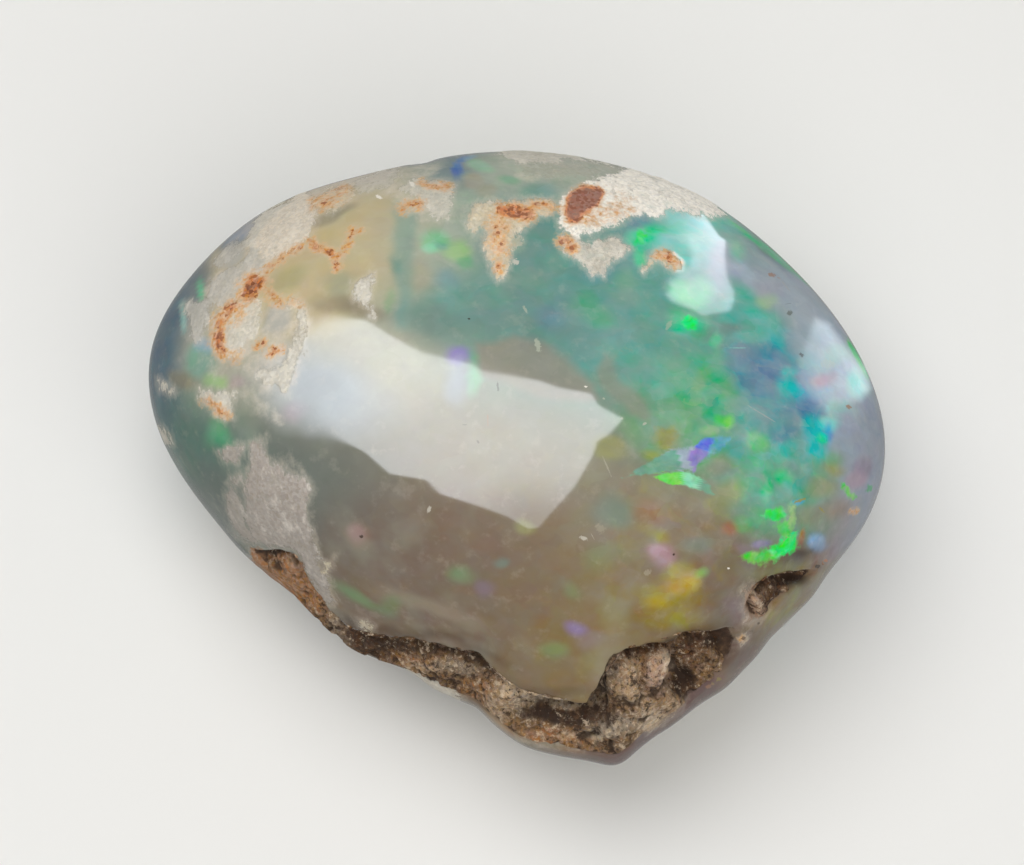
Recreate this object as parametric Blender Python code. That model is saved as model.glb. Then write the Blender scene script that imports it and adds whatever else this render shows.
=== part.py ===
"""Opalized clam fossil: a small clam turned to precious opal, both valves closed, its surface polished.

Brown sandstone is left in the groove along the hinge and in a small pit beside it. The fossil lies on
its back valve, with the seam between the valves level. +X runs along the shell, +Y towards its open
margin and +Z out of the front valve. The origin is under the middle of the fossil, on the surface that
it rests on. Sizes below are in millimetres, angles in degrees round the shell from +X.
"""

import bmesh
import bpy
import numpy as np

MM = 0.001

# The outline in plan: angle, and reach of the widest line from the shell's axis.
OUTLINE = (
    (0, 18.0), (12, 17.5), (24, 16.8), (36, 16.2), (48, 15.8), (60, 15.5), (72, 15.2), (84, 15.0),
    (96, 15.05), (108, 15.0), (120, 15.7), (132, 16.85), (144, 17.9), (156, 18.5), (166, 18.6),
    (176, 17.7), (188, 15.8), (200, 14.2), (212, 13.1), (224, 12.7), (236, 12.35), (247, 12.25),
    (256, 12.6), (265, 13.9), (274, 15.0), (282, 15.6), (289, 16.5), (296, 15.9), (303, 15.2),
    (312, 15.85), (324, 15.4), (336, 16.3), (348, 17.2),
)
# Corners of the outline that the smooth curve leaves out: angle, half width in degrees, reach added.
CORNERS = (
    (200, 6, 0.16), (232, 6, 0.1), (250.5, 3.5, 0.17), (261, 3, -0.22), (271, 5, 0.23), (287, 3.5, 0.42),
    (295, 3, -0.08), (310.5, 4, 0.17), (323, 3.5, -0.14), (333.5, 4, 0.17),
)
EDGE_WAVES = 12
DOME_WAVES = 2

FRONT_HEIGHT = 10.4
BACK_HEIGHT = 9.0
FRONT_CROWN = (-0.6, -1.6)
BACK_CROWN = (0.3, 0.8)
REST_FLAT = 0.20
FULLNESS = 2.25
MIDDLE = (-0.10, -0.361)

# The front valve ends short of the back one round the beak, where the groove runs.
BEAK_ANGLE, BEAK_SPREAD, BEAK_SETBACK = 270.0, 48.0, 1.0

# The groove left between the valves along the hinge, and the pit beside it: angle, lip and rim in
# degrees down from the front crown, depth, and thickness of the sandstone still in it.
GROOVE = (
    (200, 86, 91, 0.0, 0.0), (204, 85.5, 91.5, 0.5, 0.3), (207, 80, 93, 0.9, 0.4), (211, 73.5, 94, 1.1, 0.6),
    (214, 74, 95, 1.1, 0.6), (218, 80, 97, 1.1, 0.5), (223, 84, 99, 1.0, 0.5), (229, 86.5, 100, 1.0, 0.5),
    (236, 85, 99, 1.2, 0.6), (243, 81.5, 97, 1.4, 0.7), (250, 77.5, 95, 1.5, 0.8), (256, 75, 93, 1.6, 0.8),
    (262, 74, 92, 1.6, 0.9), (270, 75, 92, 1.8, 0.7), (278, 74, 91, 2.0, 0.5), (283, 73, 91, 2.1, 0.7),
    (288, 64.5, 90, 2.2, 1.4), (293, 61, 89, 2.2, 1.5), (299, 62, 89, 2.1, 1.2), (305, 63, 88, 1.8, 0.5),
    (310, 67, 84, 1.2, 0.4), (315, 72, 81, 0.0, 0.0), (318, 67, 75, 0.0, 0.0), (321, 63.5, 78.5, 0.9, 0.4),
    (325, 64, 78.5, 1.2, 0.5), (329, 70, 80, 1.2, 0.5), (331, 75, 81.5, 0.8, 0.4), (334, 81, 83, 0.0, 0.0),
    (356, 74, 87, 0.0, 0.0),
)
GROOVE_SECTION = ((0, 0.0), (0.06, 0.95), (0.25, 1.0), (0.55, 0.85), (0.8, 0.6), (0.93, 0.3), (1, 0.0))

# The sandstone pieces: first and last angle, and their sides as shares of the groove's width.
HINGE_SPAN = (206.5, 311.0)
PIT_SPAN = (321.5, 331.0)
STONE_SIDES = (0.16, 0.84)
STONE_GAP = 0.32
STONE_THINNEST = 0.35
STONE_LUMPS = 0.12

COLUMNS = 118
FRONT_RINGS = 13
BACK_RINGS = 15
HINGE_SECTIONS = 52
PIT_SECTIONS = 11
SECTION_POINTS = 5

OPAL_COLOUR = (0.20, 0.27, 0.24)
SANDSTONE_COLOUR = (0.26, 0.16, 0.09)


def waves(order):
    """A smooth closed curve near OUTLINE's points, as a function of the angle."""

    def terms(angle):
        turn = np.radians(np.asarray(angle, float))
        rows = [np.ones_like(turn)]
        for n in range(1, order + 1):
            rows += [np.cos(n * turn), np.sin(n * turn)]
        return np.stack(rows, -1)

    angles, reaches = np.array(OUTLINE, float).T
    share = np.linalg.lstsq(terms(angles), reaches, rcond=None)[0]
    return lambda angle: terms(angle) @ share


smooth_edge = waves(EDGE_WAVES)
dome_reach = waves(DOME_WAVES)


def edge_reach(angle):
    """Reach of the widest line, with its corners."""
    reach = smooth_edge(angle)
    for middle, width, added in CORNERS:
        reach = reach + added * np.exp(-((((angle - middle + 180) % 360 - 180) / width) ** 2))
    return reach


def ease(low, high, value):
    share = np.clip((value - low) / (high - low), 0, 1)
    return share * share * (3 - 2 * share)


def shell(angle, down):
    """A point of the unbroken shell: angle round it, and degrees down from the front crown."""
    angle, down = np.broadcast_arrays(np.asarray(angle, float), np.asarray(down, float))
    edge = ease(35, 85, down) * ease(180, 120, down)
    reach = dome_reach(angle) * (1 - edge) + edge_reach(angle) * edge
    turn_from_beak = (angle - BEAK_ANGLE + 180) % 360 - 180
    setback = BEAK_SETBACK * np.exp(-((turn_from_beak / BEAK_SPREAD) ** 2))
    reach = reach - setback * (1 - ease(62, 100, down))
    out = np.abs(np.sin(np.radians(down))) ** (2 / FULLNESS)
    rise = np.abs(np.cos(np.radians(down))) ** (2 / FULLNESS)
    front = down < 90
    height = np.where(front, FRONT_HEIGHT * rise, -BACK_HEIGHT * rise)
    height = np.maximum(height, REST_FLAT - BACK_HEIGHT)
    crown_x = np.where(front, FRONT_CROWN[0], BACK_CROWN[0])
    crown_y = np.where(front, FRONT_CROWN[1], BACK_CROWN[1])
    x = crown_x * (1 - out) + reach * out * np.cos(np.radians(angle))
    y = crown_y * (1 - out) + reach * out * np.sin(np.radians(angle))
    return np.stack([x - MIDDLE[0], y - MIDDLE[1], height + BACK_HEIGHT - REST_FLAT], -1)


def sunk(angle, down, depth):
    """The point under shell(angle, down), that far in from the surface."""
    step = 0.5
    along = shell(angle + step, down) - shell(angle - step, down)
    across = shell(angle, down + step) - shell(angle, down - step)
    outward = np.cross(across, along)
    outward /= np.linalg.norm(outward, axis=-1, keepdims=True)
    return shell(angle, down) - outward * np.asarray(depth)[..., None]


def groove(angle):
    """Lip, rim, depth and thickness of sandstone at an angle."""
    stations = np.array(GROOVE, float).T
    return [np.interp(angle, stations[0], values, period=360) for values in stations[1:]]


def lofted(name, loops, first, last, colour, roughness):
    """One closed solid through loops of points, with each end drawn to a single point."""
    mesh = bmesh.new()
    rings = [[mesh.verts.new(point * MM) for point in loop] for loop in loops]
    count = len(rings[0])
    for ring, following in zip(rings, rings[1:]):
        for i in range(count):
            j = (i + 1) % count
            mesh.faces.new((ring[i], ring[j], following[j], following[i]))
    for ring, end in ((rings[0], first), (rings[-1], last)):
        tip = mesh.verts.new(end * MM)
        for i in range(count):
            mesh.faces.new((ring[i], ring[(i + 1) % count], tip))
    bmesh.ops.recalc_face_normals(mesh, faces=mesh.faces)
    data = bpy.data.meshes.new(name)
    mesh.to_mesh(data)
    mesh.free()
    data.shade_smooth()
    data.set_sharp_from_angle(angle=np.radians(40))
    data.materials.append(surface(name, colour, roughness))
    piece = bpy.data.objects.new(name, data)
    bpy.context.collection.objects.link(piece)
    return piece


def surface(name, colour, roughness):
    material = bpy.data.materials.new(name)
    material.use_nodes = True
    shader = material.node_tree.nodes["Principled BSDF"]
    shader.inputs["Base Color"].default_value = (*colour, 1)
    shader.inputs["Roughness"].default_value = roughness
    shader.inputs["Metallic"].default_value = 0
    return material


def opal_clam():
    """Both valves as one solid, with the groove and the pit cut into it."""
    angles = np.arange(COLUMNS) * 360 / COLUMNS
    lip, rim, depth, _ = groove(angles)
    loops = [shell(angles, lip * k / FRONT_RINGS) for k in range(1, FRONT_RINGS)]
    for share, sink in GROOVE_SECTION:
        loops.append(sunk(angles, lip + (rim - lip) * share, depth * sink))
    loops += [shell(angles, rim + (180 - rim) * k / BACK_RINGS) for k in range(1, BACK_RINGS)]
    return lofted("opal_clam", loops, shell(0, 0), shell(0, 180), OPAL_COLOUR, 0.08)


def sandstone(name, span, sections):
    """A lumpy strip of sandstone along the groove, clear of its floor and sides."""
    shares = np.linspace(*STONE_SIDES, SECTION_POINTS)
    floor = np.interp(shares, *np.array(GROOVE_SECTION).T)
    loops = []
    for angle in np.linspace(*span, sections):
        lip, rim, depth, thickness = groove(angle)
        down = lip + (rim - lip) * shares
        bottom = depth * floor - STONE_GAP
        lumps = STONE_LUMPS * np.sin(angle * 0.9 + 3 * shares) * np.cos(angle * 0.37 - 5 * shares)
        top = bottom - np.maximum(thickness * floor + lumps, STONE_THINNEST)
        turn = np.full_like(down, angle)
        loops.append(np.concatenate([sunk(turn, down, top), sunk(turn, down, bottom)[::-1]]))
    return lofted(name, loops, loops[0].mean(0), loops[-1].mean(0), SANDSTONE_COLOUR, 0.9)


def main():
    for old in list(bpy.data.objects):
        bpy.data.objects.remove(old, do_unlink=True)
    opal_clam()
    sandstone("hinge_sandstone", HINGE_SPAN, HINGE_SECTIONS)
    sandstone("pit_sandstone", PIT_SPAN, PIT_SECTIONS)


main()
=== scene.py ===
"""Looks of an opalized clam fossil: the polished opal of both valves, and the sandstone left in its groove.

Sizes are in millimetres and angles in degrees, in the part's own frame, unless a name says otherwise. Marks
on the side that the camera sees are placed by the photograph's pixels, in its frame of 1024 by 865, and are
projected onto the shell. Marks on the hidden side are placed in plan. Colours are sRGB, from 0 to 255.
"""

import bpy
import numpy as np
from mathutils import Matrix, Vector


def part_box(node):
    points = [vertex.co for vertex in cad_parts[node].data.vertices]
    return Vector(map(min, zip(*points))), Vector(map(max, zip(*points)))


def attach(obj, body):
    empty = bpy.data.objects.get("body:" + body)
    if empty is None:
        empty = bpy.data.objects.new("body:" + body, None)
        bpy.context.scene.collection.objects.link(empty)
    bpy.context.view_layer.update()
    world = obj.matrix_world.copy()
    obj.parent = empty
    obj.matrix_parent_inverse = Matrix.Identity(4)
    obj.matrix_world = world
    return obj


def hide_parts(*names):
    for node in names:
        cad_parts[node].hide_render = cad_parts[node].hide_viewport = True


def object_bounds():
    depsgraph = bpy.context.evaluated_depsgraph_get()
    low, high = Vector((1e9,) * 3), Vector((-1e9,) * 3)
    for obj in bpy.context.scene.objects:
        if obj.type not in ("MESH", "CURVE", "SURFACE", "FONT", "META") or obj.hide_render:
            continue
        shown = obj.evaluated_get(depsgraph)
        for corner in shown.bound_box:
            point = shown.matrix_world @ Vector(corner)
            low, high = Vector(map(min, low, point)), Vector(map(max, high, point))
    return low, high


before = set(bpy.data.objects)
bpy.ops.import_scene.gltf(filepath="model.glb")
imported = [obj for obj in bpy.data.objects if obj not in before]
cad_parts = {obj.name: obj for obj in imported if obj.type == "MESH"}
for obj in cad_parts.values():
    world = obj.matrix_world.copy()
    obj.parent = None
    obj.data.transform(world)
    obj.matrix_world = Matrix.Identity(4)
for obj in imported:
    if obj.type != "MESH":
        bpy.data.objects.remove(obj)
cad_box = [list(corner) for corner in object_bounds()]

MM = 0.001

# The shell, as the solids have it.
OUTLINE = (
    (0, 18.0), (12, 17.5), (24, 16.8), (36, 16.2), (48, 15.8), (60, 15.5), (72, 15.2), (84, 15.0),
    (96, 15.05), (108, 15.0), (120, 15.7), (132, 16.85), (144, 17.9), (156, 18.5), (166, 18.6), (176, 17.7),
    (188, 15.8), (200, 14.2), (212, 13.1), (224, 12.7), (236, 12.35), (247, 12.25), (256, 12.6),
    (265, 13.9), (274, 15.0), (282, 15.6), (289, 16.5), (296, 15.9), (303, 15.2), (312, 15.85), (324, 15.4),
    (336, 16.3), (348, 17.2),
)
# Corners of the outline that the smooth curve leaves out: angle, half width in degrees, reach added.
CORNERS = (
    (200, 6, 0.16), (232, 6, 0.1), (250.5, 3.5, 0.17), (261, 3, -0.22), (271, 5, 0.23), (287, 3.5, 0.42),
    (295, 3, -0.08), (310.5, 4, 0.17), (323, 3.5, -0.14), (333.5, 4, 0.17),
)
EDGE_WAVES = 12
DOME_WAVES = 2
FRONT_HEIGHT = 10.4
BACK_HEIGHT = 9.0
FRONT_CROWN = (-0.6, -1.6)
BACK_CROWN = (0.3, 0.8)
REST_FLAT = 0.20
FULLNESS = 2.25
MIDDLE = (-0.10, -0.361)
BEAK_ANGLE, BEAK_SPREAD, BEAK_SETBACK = 270.0, 48.0, 1.0

# The groove: angle, lip and rim in degrees down from the front crown, depth, thickness of the sandstone.
GROOVE = (
    (200, 86, 91, 0.0, 0.0), (204, 85.5, 91.5, 0.5, 0.3), (207, 80, 93, 0.9, 0.4),
    (211, 73.5, 94, 1.1, 0.6), (214, 74, 95, 1.1, 0.6), (218, 80, 97, 1.1, 0.5), (223, 84, 99, 1.0, 0.5),
    (229, 86.5, 100, 1.0, 0.5), (236, 85, 99, 1.2, 0.6), (243, 81.5, 97, 1.4, 0.7),
    (250, 77.5, 95, 1.5, 0.8), (256, 75, 93, 1.6, 0.8), (262, 74, 92, 1.6, 0.9), (270, 75, 92, 1.8, 0.7),
    (278, 74, 91, 2.0, 0.5), (283, 73, 91, 2.1, 0.7), (288, 64.5, 90, 2.2, 1.4), (293, 61, 89, 2.2, 1.5),
    (299, 62, 89, 2.1, 1.2), (305, 63, 88, 1.8, 0.5), (310, 67, 84, 1.2, 0.4), (315, 72, 81, 0.0, 0.0),
    (318, 67, 75, 0.0, 0.0), (321, 63.5, 78.5, 0.9, 0.4), (325, 64, 78.5, 1.2, 0.5),
    (329, 70, 80, 1.2, 0.5), (331, 75, 81.5, 0.8, 0.4), (334, 81, 83, 0.0, 0.0), (356, 74, 87, 0.0, 0.0),
)
GROOVE_FLOOR = ((0, 0.0), (0.06, 0.95), (0.25, 1.0), (0.55, 0.85), (0.8, 0.6), (0.93, 0.3), (1, 0.0))
# The wall under the lip: share of the groove's width, share of its depth. It leans back under the lip.
LIP_WALL = (
    (0.0, 0.0), (0.012, 0.05), (0.02, 0.14), (0.015, 0.3), (0.0, 0.5), (-0.01, 0.7), (0.01, 0.88),
    (0.06, 0.97),
)

# The camera: the shell's axis at mid height is seen at AXIS_PIXEL.
FRAME_SIZE = (1024, 865)
PIXEL = 36.0 / 737
LENS, SENSOR = 200.0, 36.0
TILT = 22.0
AXIS_POINT = (0.10, 0.361, 8.80)
AXIS_PIXEL = (518, 450)

# Colours seen in the opal.
TEAL = (98, 150, 142)
DULL_TEAL = (106, 136, 126)
SEA = (104, 160, 140)
BLUE = (98, 145, 162)
LEAF = (112, 162, 112)
GREEN = (88, 168, 124)
AQUA = (138, 212, 198)
CYAN = (48, 184, 182)
TURQUOISE = (76, 176, 158)
JADE = (48, 208, 138)
EMERALD = (40, 228, 112)
LIME = (112, 214, 88)
PEA = (152, 196, 124)
YELLOW = (154, 144, 62)
GOLD = (198, 164, 48)
OLIVE = (148, 148, 98)
OCHRE = (128, 108, 70)
MINT = (134, 214, 164)
SKY = (104, 168, 216)
COBALT = (92, 106, 218)
ROYAL = (62, 108, 176)
VIOLET = (138, 122, 192)
LILAC = (166, 176, 194)
MAUVE = (142, 126, 146)
DUSK = (106, 88, 84)
# Also the colour of painted reflection: the fading left end of the main highlight, and a glint on the lower
# rim.
HAZE_AND_REFLECTION = (164, 174, 184)
LAVENDER = (150, 158, 172)
ROSE = (178, 140, 154)
COPPER = (158, 118, 90)
SLATE_BLUE = (98, 132, 156)
NIGHT = (74, 100, 116)
SLATE = (82, 110, 126)
MOSS = (82, 116, 104)
SMOKE = (104, 112, 106)
UMBER = (120, 104, 88)
TAUPE = (136, 126, 105)
# Colour of the dim painted reflections above the main highlight.
DIM_REFLECTION_TAUPE = (150, 134, 120)
TAN = (166, 157, 136)
MILK = (192, 176, 138)
PALE = (174, 170, 152)
SILVER = (168, 169, 166)
PEARL = (170, 176, 158)
# Its chalky skin, its stains and the sandstone. The darkest sandstone colour also serves as painted shade.
WHITE = (242, 236, 224)
PAPER = (202, 196, 182)
CREAM = (200, 188, 162)
ASH = (184, 180, 170)
FLINT = (166, 157, 148)
CLOUD = (216, 205, 188)
PINK_RUST = (214, 187, 161)
YELLOW_RUST = (214, 168, 114)
RUST = (194, 120, 66)
BROWN_RED = (126, 62, 34)
SOOT = (52, 38, 28)
SAND = (120, 94, 68)
SAND_LIGHT = (170, 145, 116)
SAND_BRIGHT = (208, 188, 162)
SAND_DARK_AND_SHADE = (46, 31, 20)
SAND_BROWN = (76, 53, 36)
SAND_ORANGE = (150, 110, 76)
SAND_PINK = (164, 136, 114)
SAND_GREY = (138, 124, 106)

# Broad colours of the front: middle in pixels, half width, half height, colour.
ZONES = (
    (600, 300, 130, 90, TEAL), (520, 290, 70, 60, DULL_TEAL), (690, 345, 60, 60, SEA),
    (765, 385, 45, 45, BLUE), (790, 480, 40, 40, SEA), (700, 400, 50, 45, GREEN), (690, 235, 40, 30, AQUA),
    (570, 175, 120, 22, PEARL), (450, 165, 24, 20, SLATE), (440, 240, 45, 35, PEARL),
    (345, 240, 75, 50, MILK), (270, 290, 50, 50, MILK), (240, 370, 50, 40, PALE), (185, 280, 22, 45, NIGHT),
    (160, 370, 16, 60, NIGHT), (200, 430, 45, 45, MOSS), (250, 500, 60, 60, SMOKE),
    (330, 480, 70, 60, SMOKE), (400, 540, 80, 60, UMBER), (480, 600, 130, 60, UMBER),
    (610, 625, 100, 60, OCHRE), (640, 530, 60, 45, TAUPE), (730, 590, 60, 40, UMBER),
    # The lilac zone at 845, 350 is the opal's own colour made paler by a painted reflection, beside the side
    # card's real one.
    (800, 600, 40, 40, TAUPE), (862, 470, 25, 60, LAVENDER), (845, 350, 30, 50, LILAC),
    (790, 280, 50, 34, HAZE_AND_REFLECTION), (480, 430, 130, 50, TAUPE), (390, 370, 80, 40, PALE),
    (735, 660, 45, 32, DUSK), (620, 750, 70, 16, DUSK), (540, 742, 60, 14, TAUPE),
    (440, 690, 70, 20, UMBER), (785, 605, 28, 20, UMBER),
)
# Spots of colour over them: middle, half length, half width, turn, colour, strength, softness of the edge.
SPOTS = (
    (461, 168, 6, 12, 15, ROYAL, 0.9, 0.4), (470, 160, 6, 5, 0, SKY, 0.4, 0.6),
    (483, 167, 9, 6, 0, MINT, 0.4, 0.6), (508, 178, 11, 6, 0, GREEN, 0.5, 0.5),
    (537, 190, 18, 7, 5, TEAL, 0.6, 0.6), (431, 168, 13, 8, -10, PEARL, 0.5, 0.5),
    (474, 183, 9, 7, 0, TAN, 0.6, 0.4), (486, 193, 10, 7, 0, TAN, 0.5, 0.4),
    (436, 240, 12, 11, 0, JADE, 0.45, 0.7), (429, 250, 7, 6, 0, MINT, 0.6, 0.5),
    (456, 253, 14, 10, -10, PEA, 0.65, 0.5), (464, 264, 8, 5, 0, GREEN, 0.5, 0.5),
    (440, 247, 6, 4, 0, TEAL, 0.5, 0.5), (415, 276, 15, 16, 0, TAN, 0.5, 0.4),
    (398, 269, 6, 10, 0, DULL_TEAL, 0.6, 0.6), (446, 283, 12, 10, 0, BLUE, 0.4, 0.7),
    (496, 289, 14, 9, 0, SEA, 0.3, 0.8), (500, 330, 60, 34, 0, DULL_TEAL, 0.3, 0.6),
    (552, 318, 15, 13, 0, SLATE_BLUE, 0.5, 0.7), (594, 309, 18, 12, 20, GREEN, 0.5, 0.6),
    (602, 276, 14, 8, -10, BLUE, 0.4, 0.7), (629, 283, 12, 9, 0, GREEN, 0.35, 0.7),
    (390, 303, 4, 14, 5, LEAF, 0.5, 0.5), (428, 322, 30, 18, 12, DULL_TEAL, 0.8, 0.6),
    (450, 300, 16, 12, 0, TEAL, 0.5, 0.7), (458, 355, 13, 9, 10, VIOLET, 0.75, 0.6),
    (458, 380, 12, 20, 0, LILAC, 0.5, 0.7), (476, 358, 5, 6, 0, GREEN, 0.5, 0.6),
    (475, 379, 7, 13, 0, MINT, 0.5, 0.6), (641, 239, 12, 10, 0, JADE, 0.8, 0.7),
    (654, 234, 8, 6, 0, JADE, 0.6, 0.6), (642, 258, 6, 9, 0, JADE, 0.75, 0.6),
    (637, 222, 11, 7, 0, BLUE, 0.7, 0.5), (672, 240, 17, 14, 0, AQUA, 0.8, 0.6),
    (720, 264, 14, 24, 0, HAZE_AND_REFLECTION, 0.9, 0.6), (684, 290, 13, 11, 0, MINT, 0.8, 0.5),
    (685, 256, 10, 16, 0, AQUA, 0.7, 0.7), (702, 292, 14, 12, 0, MINT, 0.7, 0.6),
    (691, 323, 16, 12, 0, JADE, 0.7, 0.8), (706, 331, 12, 8, 0, SMOKE, 0.35, 0.8),
    (732, 331, 9, 6, 0, SMOKE, 0.35, 0.5), (743, 303, 15, 12, 0, TURQUOISE, 0.7, 0.6),
    (760, 322, 18, 13, 30, TURQUOISE, 0.8, 0.4), (733, 320, 13, 6, 0, TURQUOISE, 0.6, 0.5),
    (755, 338, 15, 6, 10, TURQUOISE, 0.7, 0.4), (775, 338, 10, 9, 30, CYAN, 0.4, 0.6),
    (718, 341, 6, 6, 0, JADE, 0.6, 0.5), (718, 358, 5, 14, 5, GREEN, 0.45, 0.6),
    (764, 374, 40, 26, 20, SLATE_BLUE, 0.8, 0.4), (789, 370, 9, 6, 0, CYAN, 0.9, 0.5),
    (785, 382, 9, 7, 0, CYAN, 0.6, 0.6), (790, 390, 10, 9, 0, CYAN, 0.75, 0.5),
    (809, 412, 21, 16, 10, SLATE_BLUE, 0.7, 0.6), (801, 397, 8, 7, 0, CYAN, 0.4, 0.8),
    (784, 435, 16, 10, -20, SLATE_BLUE, 0.6, 0.5), (816, 429, 13, 12, 0, CYAN, 0.8, 0.5),
    (826, 436, 5, 4, 0, JADE, 0.9, 0.6), (820, 449, 12, 11, 0, CYAN, 0.65, 0.6),
    (808, 461, 14, 10, 0, TURQUOISE, 0.4, 0.7), (833, 422, 11, 7, 0, AQUA, 0.8, 0.5),
    (833, 431, 5, 9, 0, SKY, 0.4, 0.6), (709, 393, 20, 26, 10, GREEN, 0.6, 0.7),
    (692, 386, 7, 10, 20, LEAF, 0.6, 0.6), (701, 374, 6, 9, 20, LEAF, 0.5, 0.6),
    (725, 405, 12, 14, 0, LEAF, 0.35, 0.7), (729, 423, 6, 7, 20, LIME, 0.8, 0.5),
    (718, 422, 7, 5, 0, LIME, 0.5, 0.6), (706, 432, 10, 5, -10, PEA, 0.45, 0.5),
    (678, 418, 24, 12, 0, LEAF, 0.5, 0.8), (667, 438, 12, 11, 0, OLIVE, 0.6, 0.5),
    (650, 453, 10, 5, -10, YELLOW, 0.4, 0.6), (611, 452, 17, 12, 20, OLIVE, 0.75, 0.4),
    (634, 434, 12, 14, 0, LEAF, 0.35, 0.7), (758, 444, 10, 10, 0, LIME, 0.45, 0.5),
    (762, 464, 10, 12, 0, GREEN, 0.6, 0.6), (778, 453, 9, 7, 0, TURQUOISE, 0.7, 0.5),
    (791, 450, 9, 8, 0, TURQUOISE, 0.5, 0.5), (785, 476, 11, 9, 0, JADE, 0.55, 0.5),
    (793, 483, 9, 6, 0, TURQUOISE, 0.7, 0.5), (795, 469, 9, 5, 0, SMOKE, 0.3, 0.6),
    (767, 492, 5, 11, 0, JADE, 0.5, 0.5), (745, 480, 14, 14, 0, LEAF, 0.5, 0.7),
    (732, 493, 12, 11, 0, OLIVE, 0.6, 0.6), (716, 502, 12, 14, 0, OLIVE, 0.35, 0.7),
    (720, 466, 15, 8, 0, COPPER, 0.4, 0.6), (840, 455, 11, 9, 0, LEAF, 0.6, 0.5),
    (839, 467, 12, 8, 0, OLIVE, 0.7, 0.6), (824, 486, 16, 10, 0, OLIVE, 0.7, 0.7),
    (808, 515, 20, 13, 0, COPPER, 0.45, 0.7), (834, 507, 14, 11, 0, COPPER, 0.35, 0.7),
    (859, 480, 9, 9, 0, ROSE, 0.5, 0.5), (866, 468, 8, 10, 0, MAUVE, 0.6, 0.5),
    (744, 522, 9, 7, 0, LEAF, 0.8, 0.4), (761, 513, 10, 5, 0, GREEN, 0.6, 0.6),
    (730, 527, 8, 7, 0, COPPER, 0.7, 0.6), (762, 538, 6, 4, 0, VIOLET, 0.5, 0.5),
    (750, 545, 10, 5, 0, MAUVE, 0.4, 0.7), (662, 533, 7, 7, 0, YELLOW, 0.6, 0.7),
    (648, 524, 8, 6, 0, YELLOW, 0.3, 0.8), (697, 544, 14, 8, 0, DULL_TEAL, 0.4, 0.7),
    (662, 553, 14, 11, 35, ROSE, 0.65, 0.7), (653, 547, 8, 6, 0, ROSE, 0.5, 0.6),
    (676, 571, 16, 9, 0, YELLOW, 0.8, 0.6), (692, 583, 10, 9, 0, GOLD, 0.65, 0.8),
    (702, 575, 7, 5, -10, LIME, 0.4, 0.8), (672, 594, 26, 14, 0, YELLOW, 0.6, 0.7),
    (678, 584, 14, 9, 0, GOLD, 0.5, 0.7), (672, 618, 22, 14, 0, YELLOW, 0.5, 0.8),
    (660, 602, 12, 8, 0, GOLD, 0.3, 0.8), (798, 497, 6, 3, 0, SKY, 0.6, 0.5),
    (818, 541, 8, 8, 0, SKY, 0.95, 0.5), (801, 538, 4, 9, 0, COPPER, 0.9, 0.5),
    (812, 562, 16, 9, -30, COPPER, 0.6, 0.8), (840, 520, 16, 22, 20, COPPER, 0.3, 0.8),
    (832, 548, 14, 10, -40, MAUVE, 0.5, 0.8), (823, 379, 12, 7, 0, ROSE, 0.7, 0.6),
    (838, 352, 14, 12, 0, MINT, 0.3, 0.6), (858, 384, 8, 14, 0, AQUA, 0.6, 0.6),
    # The slate spot at 776, 256 is painted shade: the dark surroundings reflected in the upper right rim.
    (776, 256, 40, 8, 46, SLATE, 0.6, 0.6), (739, 270, 11, 8, 0, LILAC, 0.9, 0.6),
    (758, 281, 14, 8, 30, LILAC, 0.6, 0.6), (770, 293, 12, 8, 30, ROSE, 0.4, 0.7),
    (739, 253, 9, 8, 0, MINT, 0.4, 0.7), (765, 301, 9, 6, 0, PEA, 0.6, 0.6),
    (843, 406, 10, 8, 0, AQUA, 0.5, 0.6), (859, 389, 8, 9, 0, AQUA, 0.5, 0.6),
    (800, 286, 14, 6, 45, LILAC, 0.6, 0.7), (778, 292, 30, 13, 48, HAZE_AND_REFLECTION, 0.7, 0.6),
    (800, 326, 14, 22, 0, HAZE_AND_REFLECTION, 0.7, 0.6), (236, 243, 17, 8, -42, SLATE, 0.9, 0.5),
    (460, 574, 13, 8, 15, LEAF, 0.45, 0.8), (483, 590, 9, 8, 0, VIOLET, 0.16, 0.8),
    (498, 561, 8, 5, 0, DULL_TEAL, 0.5, 0.6), (572, 590, 10, 6, 30, LEAF, 0.25, 0.8),
    (606, 561, 16, 14, 0, LEAF, 0.22, 0.8), (384, 545, 50, 34, 10, DUSK, 0.3, 0.8),
    (579, 631, 8, 6, 20, VIOLET, 0.5, 0.8), (592, 641, 12, 8, 0, MAUVE, 0.35, 0.8),
    (615, 510, 19, 15, 0, DULL_TEAL, 0.5, 0.6), (655, 506, 16, 10, 0, COPPER, 0.35, 0.7),
    (557, 649, 12, 7, 0, LEAF, 0.35, 0.7), (615, 619, 16, 14, 0, OLIVE, 0.3, 0.7),
    (523, 528, 11, 6, 10, OLIVE, 0.6, 0.5), (430, 606, 54, 9, 20, TAN, 0.35, 0.6),
    (388, 606, 10, 12, 0, LEAF, 0.3, 0.7), (356, 597, 24, 6, 31, LEAF, 0.5, 0.9),
    (360, 537, 12, 12, 0, COPPER, 0.25, 0.6), (358, 536, 9, 10, 0, ROSE, 0.3, 0.6),
    (216, 430, 10, 16, 8, GREEN, 0.6, 0.8), (222, 440, 9, 9, 0, GREEN, 0.4, 0.8),
    (200, 294, 4, 9, -15, JADE, 0.6, 0.5), (184, 318, 3, 13, -10, AQUA, 0.6, 0.6),
    (232, 231, 13, 5, -35, ROYAL, 0.45, 0.5), (200, 362, 15, 16, 0, SEA, 0.7, 0.5),
    (206, 346, 10, 8, 0, SKY, 0.35, 0.5), (216, 382, 12, 6, 0, PEA, 0.6, 0.6),
    (236, 382, 9, 6, 0, ROSE, 0.4, 0.6), (180, 377, 16, 8, 20, TAUPE, 0.6, 0.5),
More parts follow.
